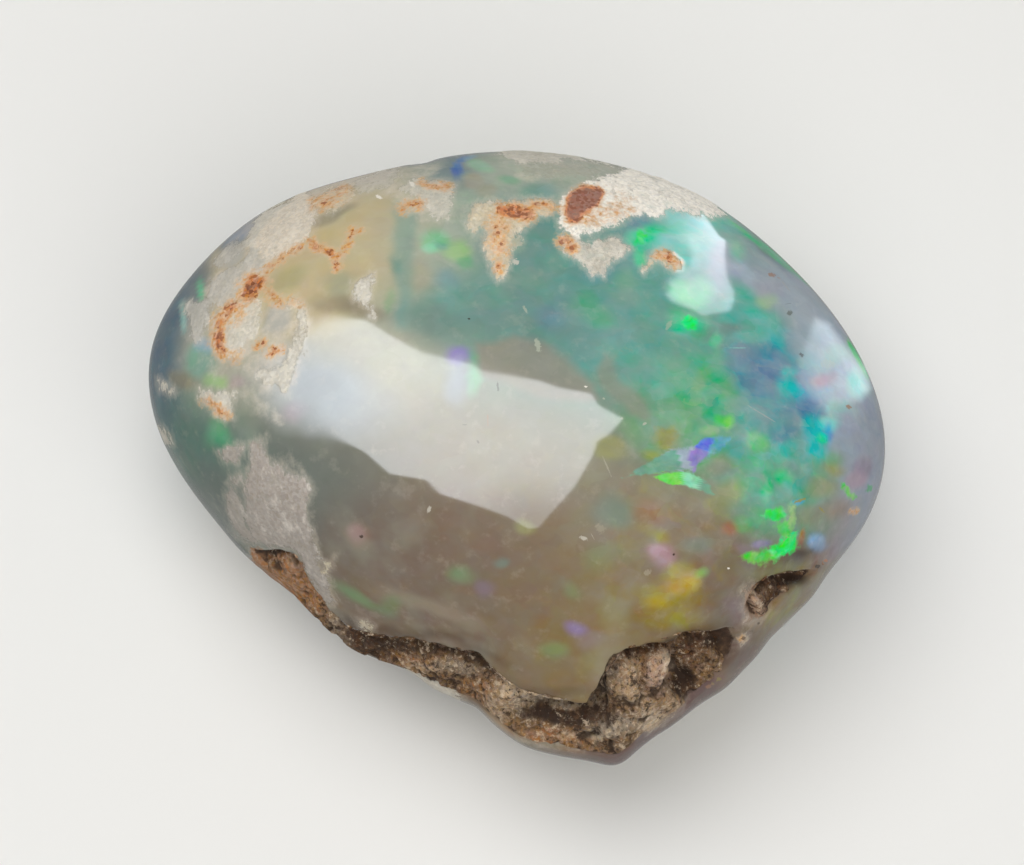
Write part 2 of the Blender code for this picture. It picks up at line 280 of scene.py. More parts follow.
    (276, 318, 13, 16, 0, SILVER, 0.8, 0.4), (283, 280, 20, 9, -20, OLIVE, 0.4, 0.6),
    (341, 286, 16, 12, 0, DULL_TEAL, 0.35, 0.6), (336, 303, 30, 8, 0, TAUPE, 0.5, 0.6),
    (362, 309, 24, 9, 20, TAUPE, 0.8, 0.6), (326, 217, 22, 5, -22, TAUPE, 0.7, 0.5),
    (345, 208, 14, 4, -20, TAUPE, 0.5, 0.5), (292, 415, 11, 10, 0, ROSE, 0.4, 0.8),
    # The spot at 320, 388 is the painted fading left end of the main highlight's reflection; the one at 604,
    # 738 is a painted glint on the lower rim.
    (320, 388, 60, 34, 18, HAZE_AND_REFLECTION, 0.7, 0.7), (604, 738, 20, 4, -8, HAZE_AND_REFLECTION, 0.6, 0.6),
    (400, 676, 16, 8, 20, DULL_TEAL, 0.5, 0.6), (782, 604, 22, 12, -35, OLIVE, 0.6, 0.6),
    (738, 606, 10, 16, 0, MAUVE, 0.35, 0.8), (700, 685, 14, 10, -30, COPPER, 0.5, 0.7),
    (248, 228, 24, 8, -42, LAVENDER, 0.8, 0.6), (236, 257, 16, 5, -45, SILVER, 0.8, 0.6),
)
# Patches with an outline of their own: colour, strength, softness in pixels, outline. The first two are
# painted dim reflections above the main highlight.
PATCHES = (
    (DIM_REFLECTION_TAUPE, 0.6, 6, (
        (477, 342), (511, 339), (540, 344), (566, 355), (594, 380), (600, 400), (540, 396), (480, 372),
    )),
    (DIM_REFLECTION_TAUPE, 0.45, 5, (
        (602, 350), (612, 354), (621, 377), (652, 412), (654, 424), (631, 418), (600, 381), (597, 372),
    )),
    (JADE, 0.75, 2.5, (
        (726, 214), (748, 229), (772, 248), (794, 270), (810, 289), (804, 288), (768, 252), (744, 233),
    )),
    (EMERALD, 0.9, 2.5, ((846, 338), (856, 352), (865, 372), (863, 374), (844, 341))),
    (TEAL, 0.5, 6, ((395, 200), (420, 210), (415, 262), (404, 330), (398, 330))),
)
# Clear-edged flakes: colour, strength, softness in pixels, outline.
SHARDS = (
    (SEA, 0.8, 1.6, ((622, 478), (640, 466), (658, 457), (680, 449), (686, 460), (684, 470), (655, 472))),
    (LILAC, 0.8, 3, ((662, 456), (680, 449), (692, 447), (694, 470), (676, 470), (664, 466))),
    (VIOLET, 0.9, 2.4, ((684, 452), (700, 446), (712, 452), (702, 460), (694, 471), (686, 466))),
    (COBALT, 0.9, 2, ((694, 446), (703, 440), (714, 441), (711, 452), (702, 455), (696, 453))),
    (SKY, 0.55, 4, ((711, 441), (733, 436), (722, 448), (709, 457), (708, 450))),
    (LIME, 0.95, 1.3, ((653, 477), (664, 472), (684, 472), (688, 484), (676, 484))),
    (MINT, 0.9, 1.6, ((684, 472), (694, 473), (702, 478), (700, 492), (686, 488), (682, 482))),
    (SEA, 0.8, 1.8, ((701, 477), (709, 486), (716, 497), (706, 496), (699, 491))),
    (LIME, 0.85, 3.5, ((742, 557), (756, 550), (768, 548), (776, 552), (773, 560), (760, 565), (746, 562))),
    (EMERALD, 0.95, 3, (
        (768, 553), (768, 546), (780, 546), (783, 538), (790, 536), (797, 540), (797, 550), (788, 556),
        (774, 561),
    )),
    (MINT, 0.8, 2.5, ((770, 552), (774, 546), (782, 548), (780, 556), (772, 557))),
    (EMERALD, 0.9, 3, ((786, 541), (790, 531), (796, 531), (797, 545), (790, 546))),
    (PEA, 0.8, 3.5, ((788, 508), (790, 503), (795, 503), (795, 531), (788, 534))),
    (LIME, 0.7, 3.5, ((774, 528), (790, 518), (793, 530), (788, 540))),
    (EMERALD, 0.85, 3.5, ((763, 516), (768, 509), (780, 508), (786, 514), (780, 522), (770, 522))),
    (GREEN, 0.6, 4, ((744, 520), (756, 515), (762, 518), (756, 527), (746, 527))),
    (LIME, 0.8, 2, ((842, 482), (859, 496), (854, 499), (848, 496), (843, 491))),
    (GREEN, 0.8, 1.5, ((868, 484), (872, 486), (870, 496), (866, 493))),
    (EMERALD, 0.95, 3, ((682, 322), (690, 317), (699, 320), (698, 328), (688, 330))),
    (EMERALD, 0.8, 3.5, ((633, 236), (641, 230), (650, 234), (648, 243), (638, 245))),
    (YELLOW, 0.45, 4, ((657, 427), (678, 428), (670, 450), (661, 451), (656, 438))),
)
# How strongly the play of colour shows: middle, half width, half height, strength.
FIRE = (
    (765, 410, 90, 70, 1.0), (660, 320, 90, 60, 0.55), (560, 270, 90, 50, 0.5), (480, 230, 60, 50, 0.6),
    (700, 260, 50, 40, 0.7), (790, 520, 60, 60, 1.0), (690, 560, 70, 50, 0.9), (200, 400, 60, 70, 0.6),
    (330, 250, 90, 60, 0.25), (480, 580, 150, 80, 0.4), (250, 500, 70, 70, 0.3), (450, 420, 130, 60, 0.35),
    (860, 480, 30, 90, 0.5), (800, 300, 40, 40, 0.4), (170, 330, 30, 60, 0.6),
)
# Chalky skin: how solid it is, its colour and its outline.
CHALK_PATCHES = (
    (1.0, FLINT, (
        (251, 442), (263, 438), (264, 452), (270, 466), (282, 466), (285, 474), (303, 478), (309, 489),
        (306, 512), (314, 548), (330, 588), (334, 602), (326, 604), (316, 592), (301, 557), (289, 547),
        (263, 546), (252, 540), (247, 522), (245, 504), (247, 474), (252, 462),
    )),
    (0.8, FLINT, (
        (226, 496), (230, 487), (237, 494), (243, 506), (244, 520), (250, 532), (262, 544), (250, 544),
        (238, 536), (230, 518),
    )),
    (0.9, FLINT, ((219, 452), (232, 446), (243, 445), (240, 456), (236, 463), (226, 462))),
    (0.8, FLINT, ((232, 476), (243, 478), (240, 487), (231, 484))),
    (0.8, CREAM, ((314, 573), (334, 557), (331, 567), (322, 577))),
    (0.7, CREAM, ((356, 618), (364, 620), (374, 628), (370, 632), (360, 626))),
    (0.9, PAPER, ((158, 379), (168, 382), (175, 391), (171, 394), (163, 390))),
    (0.8, PAPER, ((158, 428), (167, 432), (171, 444), (165, 445))),
    (0.85, ASH, (
        (184, 305), (190, 301), (198, 304), (207, 300), (208, 316), (205, 330), (197, 343), (190, 334),
        (188, 318),
    )),
    (0.8, ASH, (
        (206, 302), (210, 284), (224, 270), (238, 266), (246, 256), (251, 244), (258, 250), (266, 262),
        (258, 277), (247, 284), (240, 297), (228, 304), (214, 305),
    )),
    (0.8, CLOUD, (
        (251, 244), (254, 232), (262, 220), (303, 190), (312, 197), (318, 212), (314, 225), (305, 240),
        (296, 247), (266, 262),
    )),
    (0.75, PAPER, (
        (215, 318), (222, 308), (240, 302), (258, 301), (261, 318), (257, 335), (247, 342), (238, 356),
        (224, 360), (215, 346),
    )),
    (0.85, PAPER, (
        (306, 303), (309, 318), (304, 334), (305, 352), (298, 362), (289, 393), (281, 394), (277, 385),
        (264, 386), (255, 376), (258, 365), (270, 371), (283, 366), (295, 330), (297, 312),
    )),
    (0.7, CREAM, ((288, 300), (296, 296), (303, 302), (298, 310), (289, 309))),
    (0.9, PAPER, ((198, 388), (206, 391), (235, 393), (231, 418), (226, 421), (208, 403), (200, 398))),
    (0.9, PAPER, (
        (246, 240), (252, 226), (266, 211), (302, 194), (297, 205), (282, 212), (262, 238), (254, 246),
        (240, 252), (232, 250),
    )),
    (0.75, ASH, ((212, 264), (224, 248), (240, 240), (254, 240), (246, 250), (234, 258), (222, 269))),
    (0.8, CREAM, (
        (310, 198), (326, 191), (340, 187), (354, 189), (352, 200), (330, 213), (320, 210), (314, 206),
    )),
    (0.5, ASH, ((352, 184), (378, 170), (398, 168), (400, 180), (388, 187), (372, 191), (358, 192))),
    (1.0, PAPER, ((354, 282), (375, 272), (371, 299), (364, 303), (356, 300), (353, 290))),
    (0.6, PAPER, ((366, 302), (371, 304), (374, 318), (369, 316))),
    (0.7, PAPER, ((400, 190), (415, 179), (436, 180), (454, 187), (449, 219), (437, 220), (430, 208))),
    (1.0, WHITE, ((431, 211), (440, 213), (445, 201), (450, 206), (447, 218), (438, 220))),
    (1.0, CREAM, (
        (467, 216), (474, 204), (501, 203), (524, 199), (540, 199), (558, 204), (553, 214), (540, 216),
        (531, 223), (515, 232), (510, 259), (505, 271), (498, 281), (486, 251), (484, 232), (480, 226),
        (475, 235), (468, 225),
    )),
    (0.5, CREAM, ((508, 232), (520, 238), (524, 244), (514, 250), (506, 250))),
    (1.0, WHITE, (
        (560, 202), (570, 191), (584, 184), (618, 173), (634, 165), (650, 160), (680, 172), (712, 196),
        (726, 214), (713, 217), (684, 212), (676, 209), (667, 208), (665, 215), (657, 217), (643, 214),
        (632, 217), (616, 225), (578, 238), (566, 233), (559, 222),
    )),
    (1.0, PAPER, (
        (561, 237), (572, 235), (592, 244), (603, 239), (616, 236), (631, 250), (612, 262), (602, 276),
        (592, 276), (589, 267), (564, 250),
    )),
    (0.95, CREAM, (
        (644, 270), (651, 257), (658, 249), (672, 250), (681, 260), (682, 268), (674, 270), (665, 264),
        (658, 262),
    )),
    (0.85, PAPER, (
        (498, 155), (510, 144), (560, 145), (610, 152), (650, 164), (640, 169), (590, 161), (560, 160),
        (548, 164), (538, 161), (520, 163), (508, 160),
    )),
    (0.4, PALE, ((520, 164), (580, 166), (600, 172), (580, 178), (548, 178), (524, 176))),
    (1.0, SAND_ORANGE, (
        (250, 548), (262, 549), (308, 596), (332, 626), (320, 630), (304, 616), (252, 562),
    )),
    (0.8, SAND_GREY, ((322, 618), (334, 626), (346, 640), (356, 656), (346, 660), (332, 646), (320, 630))),
    (0.75, SAND_PINK, (
        (744, 592), (752, 583), (764, 586), (768, 598), (765, 610), (758, 620), (747, 622), (742, 608),
    )),
    (0.8, PAPER, (
        (404, 664), (420, 667), (436, 674), (450, 686), (462, 700), (450, 704), (430, 694), (402, 674),
    )),
    (0.95, SAND_ORANGE, (
        (520, 736), (532, 731), (562, 727), (574, 734), (584, 745), (572, 748), (556, 744), (536, 742),
    )),
    (0.9, SAND_BRIGHT, ((536, 730), (550, 727), (564, 728), (560, 736), (545, 738))),
    (0.8, SAND_LIGHT, ((636, 700), (660, 694), (682, 694), (680, 708), (650, 732), (641, 728))),
    (0.4, CREAM, ((739, 637), (744, 634), (748, 637), (748, 642), (743, 644), (739, 642))),
)
# Thin cloudy veils: strength, softness of the edge in pixels, outline.
VEILS = (
    (1.0, 7, (
        (204, 296), (210, 284), (224, 270), (238, 266), (246, 256), (256, 224), (266, 206), (303, 186),
        (336, 172), (399, 160), (392, 182), (352, 188), (338, 200), (320, 212), (305, 240), (296, 247),
        (280, 255), (268, 264), (259, 277), (248, 284), (240, 297), (228, 304), (213, 303),
    )),
    (0.7, 6, (
        (214, 318), (222, 306), (250, 300), (260, 304), (262, 330), (252, 350), (240, 360), (222, 360),
        (214, 345),
    )),
    (0.6, 9, (
        (262, 300), (306, 300), (310, 330), (292, 392), (262, 392), (250, 378), (236, 366), (245, 352),
        (262, 345),
    )),
    (0.5, 5, ((185, 302), (203, 300), (206, 322), (197, 343), (190, 330))),
    (0.45, 8, (
        (372, 172), (400, 160), (426, 160), (452, 184), (453, 213), (436, 221), (405, 212), (385, 195),
    )),
    (0.3, 8, (
        (466, 206), (500, 198), (556, 202), (545, 222), (522, 240), (512, 262), (498, 280), (484, 250),
        (468, 228),
    )),
    (0.4, 6, (
        (496, 150), (580, 152), (650, 168), (706, 204), (690, 206), (640, 178), (580, 172), (530, 184),
        (505, 168),
    )),
    (0.6, 6, ((196, 388), (236, 390), (234, 420), (216, 416), (200, 404))),
    (0.3, 12, ((232, 440), (300, 460), (318, 500), (326, 570), (300, 560), (230, 540), (222, 500))),
    (0.45, 5, ((249, 393), (262, 400), (276, 416), (286, 431), (278, 433), (262, 417))),
    (0.3, 14, ((196, 340), (262, 392), (250, 410), (214, 392), (196, 372))),
)
# Rust: lines of it with their half width, strength and route; spots, as above but with no colour; the
# outline of a patch; and a spot in the patch where it is thinner.
RUST_LINES = (
    (8, 1.1, ((221, 350), (217, 342), (220, 332), (219, 324), (223, 315), (229, 310), (236, 307))),
    (7, 0.8, ((236, 307), (244, 298), (250, 292))), (11, 1.3, ((247, 294), (252, 288), (258, 282))),
    (5, 0.85, ((261, 279), (267, 271), (273, 264), (282, 259), (292, 251), (300, 248))),
    (5.5, 1.05, ((311, 241), (315, 247), (323, 249), (331, 253), (338, 257), (336, 263), (337, 268))),
    (5, 0.8, ((338, 257), (345, 250), (349, 243), (350, 236), (354, 230), (359, 230))),
    (8, 0.75, ((222, 352), (230, 357), (236, 356))), (9, 0.45, ((232, 322), (242, 312), (250, 303))),
    (5, 0.95, ((258, 347), (262, 343))), (6, 0.95, ((270, 354), (276, 351), (281, 349))),
    (7, 0.75, ((269, 296), (275, 299), (282, 302))), (6, 0.5, ((285, 300), (293, 300), (300, 304))),
    (9, 0.75, ((317, 204), (326, 202), (336, 198), (342, 192))),
    (7, 0.85, ((403, 209), (411, 204), (419, 203))), (5, 0.85, ((422, 183), (434, 186), (450, 188))),
    (9, 1.2, ((503, 211), (512, 212), (521, 213), (529, 215))),
    (6, 0.8, ((533, 207), (541, 205), (553, 207))), (12, 0.8, ((498, 224), (498, 236), (500, 250))),
    (5.5, 1.0, ((500, 264), (499, 269))), (7, 1.05, ((562, 241), (568, 244), (572, 249))),
    (6.5, 1.1, ((659, 255), (668, 258), (676, 263))), (7, 0.75, ((206, 402), (214, 407), (226, 413))),
    (3.5, 0.8, ((853, 512), (856, 511))),
)
RUST_SPOTS = (
    (598, 208, 34, 18, -14, 0.35, 0.9), (616, 212, 20, 8, -10, 0.2, 0.9), (221, 340, 6, 8, 0, 0.3, 0.6),
    (252, 286, 8, 8, 0, 0.4, 0.6), (516, 213, 8, 5, 0, 0.35, 0.6), (743, 639, 4, 4, 0, 0.7, 0.8),
    (582, 204, 16, 20, 28, 0.3, 0.7), (516, 212, 14, 6, 0, 0.4, 0.8),
)
RUST_PATCH = (
    (572, 192), (584, 187), (598, 187), (604, 193), (600, 202), (592, 209), (585, 214), (577, 222),
    (569, 222), (566, 210), (568, 199),
)
RUST_HOLLOW = (606, 200, 6, 6, -20, -0.3, 0.9)
# Specks and scratches: middle, half length, half width, turn, colour, strength.
SPECKS = (
    (538, 345, 7, 3.4, 80, PEARL, 0.75), (525, 309, 4, 1.6, 60, PEARL, 0.6),
    (429, 510, 4, 2, 100, PAPER, 0.6), (584, 539, 4, 2, 20, PAPER, 0.6), (601, 529, 5, 5, 0, TAN, 0.4),
    (648, 573, 4, 3, -40, TAN, 0.5), (622, 419, 2, 1.5, 0, PEARL, 0.6), (516, 262, 3.5, 3, 0, PAPER, 0.8),
    (645, 424, 2.6, 1.2, -35, PEARL, 0.9), (586, 387, 1.6, 1.3, 0, WHITE, 0.8),
    (604, 399, 1.4, 1.2, 0, PEARL, 0.8), (729, 569, 1.4, 1.2, 0, WHITE, 0.9),
    (469, 319, 1.4, 1.2, 0, SOOT, 0.8), (361, 537, 2, 1.7, 0, SOOT, 0.8),
    (674, 555, 1.4, 1.2, 0, SOOT, 0.9), (498, 387, 5, 1.2, 85, SOOT, 0.5), (478, 442, 2, 1, 60, SOOT, 0.4),
    (465, 425, 3, 0.8, 0, SOOT, 0.3), (488, 421, 6, 0.9, 88, COPPER, 0.4),
    (790, 313, 3.2, 2.4, 0, SMOKE, 0.8), (802, 355, 2.6, 2, 30, SOOT, 0.6),
    (669, 325, 5, 2.4, -60, PEARL, 0.5), (828, 364, 7, 4.5, 0, PEARL, 0.35),
    (822, 510, 4, 1.2, 50, YELLOW, 0.6), (800, 501, 7, 1.4, -20, YELLOW, 0.8),
    (786, 286, 8, 0.8, 50, SILVER, 0.5), (607, 466, 10.5, 0.8, 67, PALE, 0.5),
    (762, 414, 16, 0.7, 31, SILVER, 0.5), (738, 348, 11, 0.7, 0, AQUA, 0.35),
    (759, 624, 1.6, 1.4, 0, SOOT, 0.6), (744, 639, 2.4, 2, 0, SAND_DARK_AND_SHADE, 0.7),
    (379, 197, 4, 1.6, 30, WHITE, 0.8), (412, 184, 4, 2, 50, WHITE, 0.7), (849, 407, 3, 2, 30, COPPER, 0.8),
    (772, 275, 4, 2, 15, COPPER, 0.7), (709, 687, 3, 2, -30, COPPER, 0.6),
    (719, 680, 3, 2, -30, YELLOW, 0.5), (374, 314, 5, 2, 60, PAPER, 0.7),
    (818, 567, 3, 2, 10, SAND_DARK_AND_SHADE, 0.8), (826, 561, 2, 1.5, 0, RUST, 0.6),
)

# The hidden side, in plan: middle, half width, half height in mm, colour.
BACK_ZONES = (
    (-12, 4, 6, 6, SLATE), (-5, 8, 6, 5, TEAL), (4, 9, 6, 4, SEA), (12, 4, 5, 6, BLUE),
    (14, -4, 5, 5, LAVENDER), (6, -3, 6, 5, LEAF), (-3, -2, 6, 5, DULL_TEAL), (-10, -4, 5, 5, PALE),
    (-2, -9, 6, 4, UMBER), (7, -10, 5, 4, TAUPE), (0, 3, 5, 4, TEAL), (0, 14, 9, 3, PEARL),
    (16, 0, 3, 9, LILAC), (-16, 0, 3, 8, SLATE),
)
# Its spots, in the form of SPOTS, then the middle, half width and half height of its chalk and rust.
BACK_SPOTS = (
    (9, 7, 1.5, 0.9, 20, CYAN, 0.9, 0.5), (6.5, 9, 1.1, 0.8, 0, JADE, 0.9, 0.5),
    (11, 1, 1.8, 0.9, 40, TURQUOISE, 0.9, 0.5), (4, -1, 1.9, 1.0, -30, GREEN, 0.8, 0.6),
    (-4, 5, 1.5, 0.9, 10, JADE, 0.9, 0.6), (-9, 1, 1.8, 1.0, 0, SEA, 0.8, 0.6),
    (1.5, -6, 1.2, 0.7, 0, VIOLET, 0.7, 0.6), (8, -5, 1.4, 0.7, 30, LIME, 0.8, 0.5),
    (-6, -6, 1.5, 0.8, 0, ROSE, 0.6, 0.7), (13.5, 6, 1.1, 0.8, 0, COBALT, 0.8, 0.5),
    (0, 11, 2.0, 0.8, 0, AQUA, 0.8, 0.6), (-13, 8, 1.2, 0.8, 0, CYAN, 0.8, 0.6),
    (-15, 3, 0.9, 1.4, 0, TURQUOISE, 0.8, 0.6), (-9, -4, 1.2, 0.7, 40, VIOLET, 0.6, 0.6),
    (-1, 8, 1.4, 0.8, -20, BLUE, 0.8, 0.6), (2, 4, 1.0, 0.7, 30, LIME, 0.7, 0.6),
    (14, -3, 0.9, 1.3, 0, GOLD, 0.5, 0.7), (6, -9, 1.5, 0.6, 0, GOLD, 0.5, 0.7),
    (-3, 13, 1.6, 0.6, 10, JADE, 0.8, 0.6), (7, 13, 1.4, 0.6, -20, CYAN, 0.8, 0.6),
)
BACK_CHALK = (
    (-11, 6, 4, 2.2), (-7.5, 9.5, 3, 1.5), (-13, -1, 2, 3), (3.5, 11.5, 4, 1.2), (9, -8, 2.5, 1.6),
    (-4, -10.5, 4, 1.2), (2, 2.5, 1.2, 0.8), (-6, 2, 1.4, 1.0), (12.5, 6.5, 1.6, 1.1),
)
BACK_RUST = (
    (-11.5, 6.5, 1.2, 0.8), (-8, 9.5, 0.9, 0.6), (3, 11.6, 1.4, 0.5), (-4.5, -10.6, 1.6, 0.6),
    (9.3, -8, 0.9, 0.6),
)

# Lumps and hollows of the sandstone, by pixel: middle, half width, half height, millimetres up or down.
STONE_LUMPS = (
    (280, 568, 20, 14, 0.3), (300, 588, 18, 12, 0.3), (318, 606, 12, 9, 0.35), (338, 622, 12, 9, 0.4),
    (366, 650, 18, 8, 0.15), (420, 664, 30, 9, 0.25), (460, 668, 20, 9, 0.3), (498, 698, 16, 16, 0.5),
    (522, 687, 16, 10, 0.7), (560, 701, 36, 5, 0.6), (565, 716, 48, 7, -1.0), (560, 735, 40, 8, 0.4),
    (604, 734, 20, 8, 0.3), (600, 690, 9, 20, 0.3), (618, 668, 9, 18, 0.5), (632, 684, 9, 22, 0.6),
    (643, 680, 3, 18, -0.4), (657, 672, 9, 19, 0.9), (669, 662, 7, 11, 0.5), (684, 683, 10, 13, -1.7),
    (702, 648, 22, 10, 0.3), (672, 706, 14, 9, 0.5), (652, 718, 14, 12, 0.5), (622, 722, 20, 9, -0.2),
    (606, 712, 16, 6, -0.5), (754, 606, 11, 13, 0.5), (770, 594, 9, 9, 0.1), (792, 580, 14, 7, -0.8),
)
# Where it is smooth, like felt: middle, half width, half height.
STONE_FELT = (290, 582, 40, 34)
# Its colours: middle, half width, half height, turn, colour, strength, softness. Its darkest strips along
# the lip are painted shadow under it, and its darkest spots in the sunken hollows are painted shade.
STONE_TINTS = (
    (292, 580, 44, 20, 46, SAND_ORANGE, 1.0, 0.4), (268, 564, 12, 9, 42, SAND_BROWN, 0.45, 0.7),
    (296, 562, 8, 10, -20, SAND_PINK, 0.5, 0.7), (272, 550, 18, 3, 4, SAND_DARK_AND_SHADE, 0.9, 0.5),
    (340, 630, 9, 17, -30, SAND_GREY, 0.7, 0.6), (366, 636, 24, 8, 14, SAND_BROWN, 1.0, 0.5),
    (372, 650, 26, 9, 20, SAND_BROWN, 0.8, 0.5), (420, 645, 60, 8, 6, SAND_DARK_AND_SHADE, 0.8, 0.6),
    (410, 660, 26, 6, 16, SAND_ORANGE, 0.4, 0.6), (424, 667, 18, 4, 14, SAND_LIGHT, 0.8, 0.5),
    (458, 668, 22, 8, 10, SAND_GREY, 0.7, 0.6), (480, 662, 28, 6, 28, SAND_DARK_AND_SHADE, 0.8, 0.5),
    (476, 690, 16, 9, 20, SAND_ORANGE, 0.5, 0.6), (499, 704, 14, 18, 20, SAND_LIGHT, 0.7, 0.6),
    (518, 687, 20, 11, 18, SAND_BRIGHT, 0.6, 0.5), (524, 706, 14, 9, 30, SAND_GREY, 0.6, 0.6),
    (560, 701, 36, 6, 3, SAND_GREY, 0.9, 0.4), (565, 716, 48, 8, 4, SAND_DARK_AND_SHADE, 1.0, 0.4),
    (603, 714, 14, 8, 0, SAND_BROWN, 0.9, 0.6), (606, 682, 11, 28, 25, SAND_GREY, 0.6, 0.5),
    (600, 678, 8, 20, 25, SAND_DARK_AND_SHADE, 0.5, 0.7), (556, 736, 30, 9, 6, SAND_ORANGE, 0.9, 0.5),
    (570, 736, 14, 5, 0, SAND_LIGHT, 0.6, 0.6), (604, 732, 26, 7, -5, SAND_GREY, 0.8, 0.6),
    (598, 738, 6, 4, -5, SAND_BRIGHT, 0.6, 0.6), (630, 682, 9, 24, 8, SAND_LIGHT, 0.8, 0.5),
    (646, 648, 26, 7, -14, SAND_BROWN, 0.9, 0.5), (645, 678, 3, 16, 5, SAND_BROWN, 0.6, 0.6),
    (658, 674, 11, 20, 3, SAND_PINK, 1.0, 0.4), (669, 661, 7, 11, -20, SAND_BRIGHT, 0.7, 0.5),
    (683, 682, 12, 16, -8, SAND_DARK_AND_SHADE, 1.0, 0.3), (700, 648, 32, 16, -22, SAND_BROWN, 1.0, 0.4),
    (690, 656, 9, 9, 0, SAND_ORANGE, 0.4, 0.6), (712, 660, 16, 18, -20, SAND, 0.8, 0.6),
    (714, 641, 9, 6, 0, SAND_DARK_AND_SHADE, 0.9, 0.5), (674, 704, 12, 9, 20, SAND_LIGHT, 0.7, 0.6),
    (652, 720, 14, 14, 30, SAND_BRIGHT, 0.6, 0.6), (640, 700, 14, 8, 0, SAND_LIGHT, 0.6, 0.6),
    (620, 724, 22, 9, 0, SAND_GREY, 0.8, 0.6), (778, 578, 30, 8, -5, SAND_BROWN, 0.95, 0.5),
    (793, 580, 13, 6, 10, SAND_DARK_AND_SHADE, 1.0, 0.4), (754, 606, 12, 16, 10, SAND_PINK, 1.0, 0.5),
    (771, 596, 7, 14, 20, SAND_BROWN, 0.9, 0.6),
)
# Dirt that shows through the opal beside the sandstone, in the same form. The thin dark strips along the lip
# are painted shadow under it, and the hazy strip at 620, 738 is a painted glint on the lower rim.
STAINS_LIP_SHADOW_AND_GLINT = (
    (790, 563, 28, 12, -18, SAND_BROWN, 0.7, 0.8), (796, 562, 11, 6, -10, SLATE, 0.3, 0.8),
    (776, 584, 30, 9, -14, SAND_BROWN, 0.85, 0.5), (794, 580, 12, 6, -8, SAND_DARK_AND_SHADE, 0.8, 0.6),
    (764, 592, 14, 18, 20, SAND_BROWN, 0.5, 0.7), (816, 568, 9, 5, -30, SAND_BROWN, 0.5, 0.8),
    (781, 571, 34, 7, -8, OLIVE, 0.4, 0.8), (803, 554, 9, 3, -15, SAND_DARK_AND_SHADE, 0.5, 0.8),
    (772, 604, 18, 10, -50, COPPER, 0.5, 0.8), (782, 600, 16, 12, -50, SAND_BROWN, 0.3, 0.8),
    (690, 638, 36, 7, -20, SAND_BROWN, 0.75, 0.7), (660, 645, 34, 3, -18, SAND_DARK_AND_SHADE, 0.7, 0.8),
    (398, 633, 56, 5, 4, SAND_BROWN, 0.6, 0.8), (352, 622, 16, 4, 30, SAND_DARK_AND_SHADE, 0.5, 0.8),
    (480, 652, 34, 4, 28, SAND_BROWN, 0.45, 0.8), (560, 692, 44, 5, 0, SAND_BROWN, 0.4, 0.8),
    (598, 676, 9, 26, 28, SAND_GREY, 0.35, 0.8), (754, 622, 10, 8, 0, SAND_PINK, 0.5, 0.7),
    (500, 724, 26, 7, 26, SAND_LIGHT, 0.6, 0.7), (590, 748, 34, 5, 0, COPPER, 0.4, 0.7),
    (712, 683, 16, 8, -38, SAND_ORANGE, 0.35, 0.8), (700, 684, 16, 20, 30, DUSK, 0.9, 0.6),
    (720, 655, 14, 10, -30, SAND_BROWN, 0.6, 0.7), (690, 706, 30, 8, -34, DUSK, 0.9, 0.5),
    (656, 738, 26, 6, -34, DUSK, 0.9, 0.5), (620, 738, 22, 5, -10, HAZE_AND_REFLECTION, 0.4, 0.7),
    (450, 688, 26, 5, 20, SAND_LIGHT, 0.4, 0.7), (330, 596, 10, 20, -32, SAND_GREY, 0.3, 0.8),
)


def unit(vectors):
    return vectors / np.linalg.norm(vectors, axis=-1, keepdims=True)


def ease(low, high, value):
    share = np.clip((value - low) / (high - low), 0, 1)
    return share * share * (3 - 2 * share)


def linear(colour):
    """An sRGB colour as the renderer's own numbers."""
    value = np.array(colour, float) / 255
    return np.where(value <= 0.04045, value / 12.92, ((value + 0.055) / 1.055) ** 2.4)


def waves(order):
    """A smooth closed curve near OUTLINE's points, as a function of the angle."""

    def terms(angle):
        turn = np.radians(np.asarray(angle, float))
        rows = [np.ones_like(turn)]
        for n in range(1, order + 1):
            rows += [np.cos(n * turn), np.sin(n * turn)]
        return np.stack(rows, -1)

    angles, reaches = np.array(OUTLINE, float).T
    share = np.linalg.lstsq(terms(angles), reaches, rcond=None)[0]
    return lambda angle: terms(angle) @ share


smooth_edge = waves(EDGE_WAVES)
dome_reach = waves(DOME_WAVES)


def edge_reach(angle):
    """Reach of the widest line, with its corners."""
    reach = smooth_edge(angle)
    for middle, width, added in CORNERS:
        reach = reach + added * np.exp(-((((angle - middle + 180) % 360 - 180) / width) ** 2))
    return reach


def shell(angle, down):
    """A point of the unbroken shell: angle round it, and degrees down from the front crown."""
    angle, down = np.broadcast_arrays(np.asarray(angle, float), np.asarray(down, float))
    edge = ease(35, 85, down) * ease(180, 120, down)
    reach = dome_reach(angle) * (1 - edge) + edge_reach(angle) * edge
    turn_from_beak = (angle - BEAK_ANGLE + 180) % 360 - 180
    setback = BEAK_SETBACK * np.exp(-((turn_from_beak / BEAK_SPREAD) ** 2))
    reach = reach - setback * (1 - ease(62, 100, down))
    out = np.abs(np.sin(np.radians(down))) ** (2 / FULLNESS)
    rise = np.abs(np.cos(np.radians(down))) ** (2 / FULLNESS)
    front = down < 90
    height = np.where(front, FRONT_HEIGHT * rise, -BACK_HEIGHT * rise)
    height = np.maximum(height, REST_FLAT - BACK_HEIGHT)
    crown_x = np.where(front, FRONT_CROWN[0], BACK_CROWN[0])
    crown_y = np.where(front, FRONT_CROWN[1], BACK_CROWN[1])
    x = crown_x * (1 - out) + reach * out * np.cos(np.radians(angle))
    y = crown_y * (1 - out) + reach * out * np.sin(np.radians(angle))
    return np.stack([x - MIDDLE[0], y - MIDDLE[1], height + BACK_HEIGHT - REST_FLAT], -1)


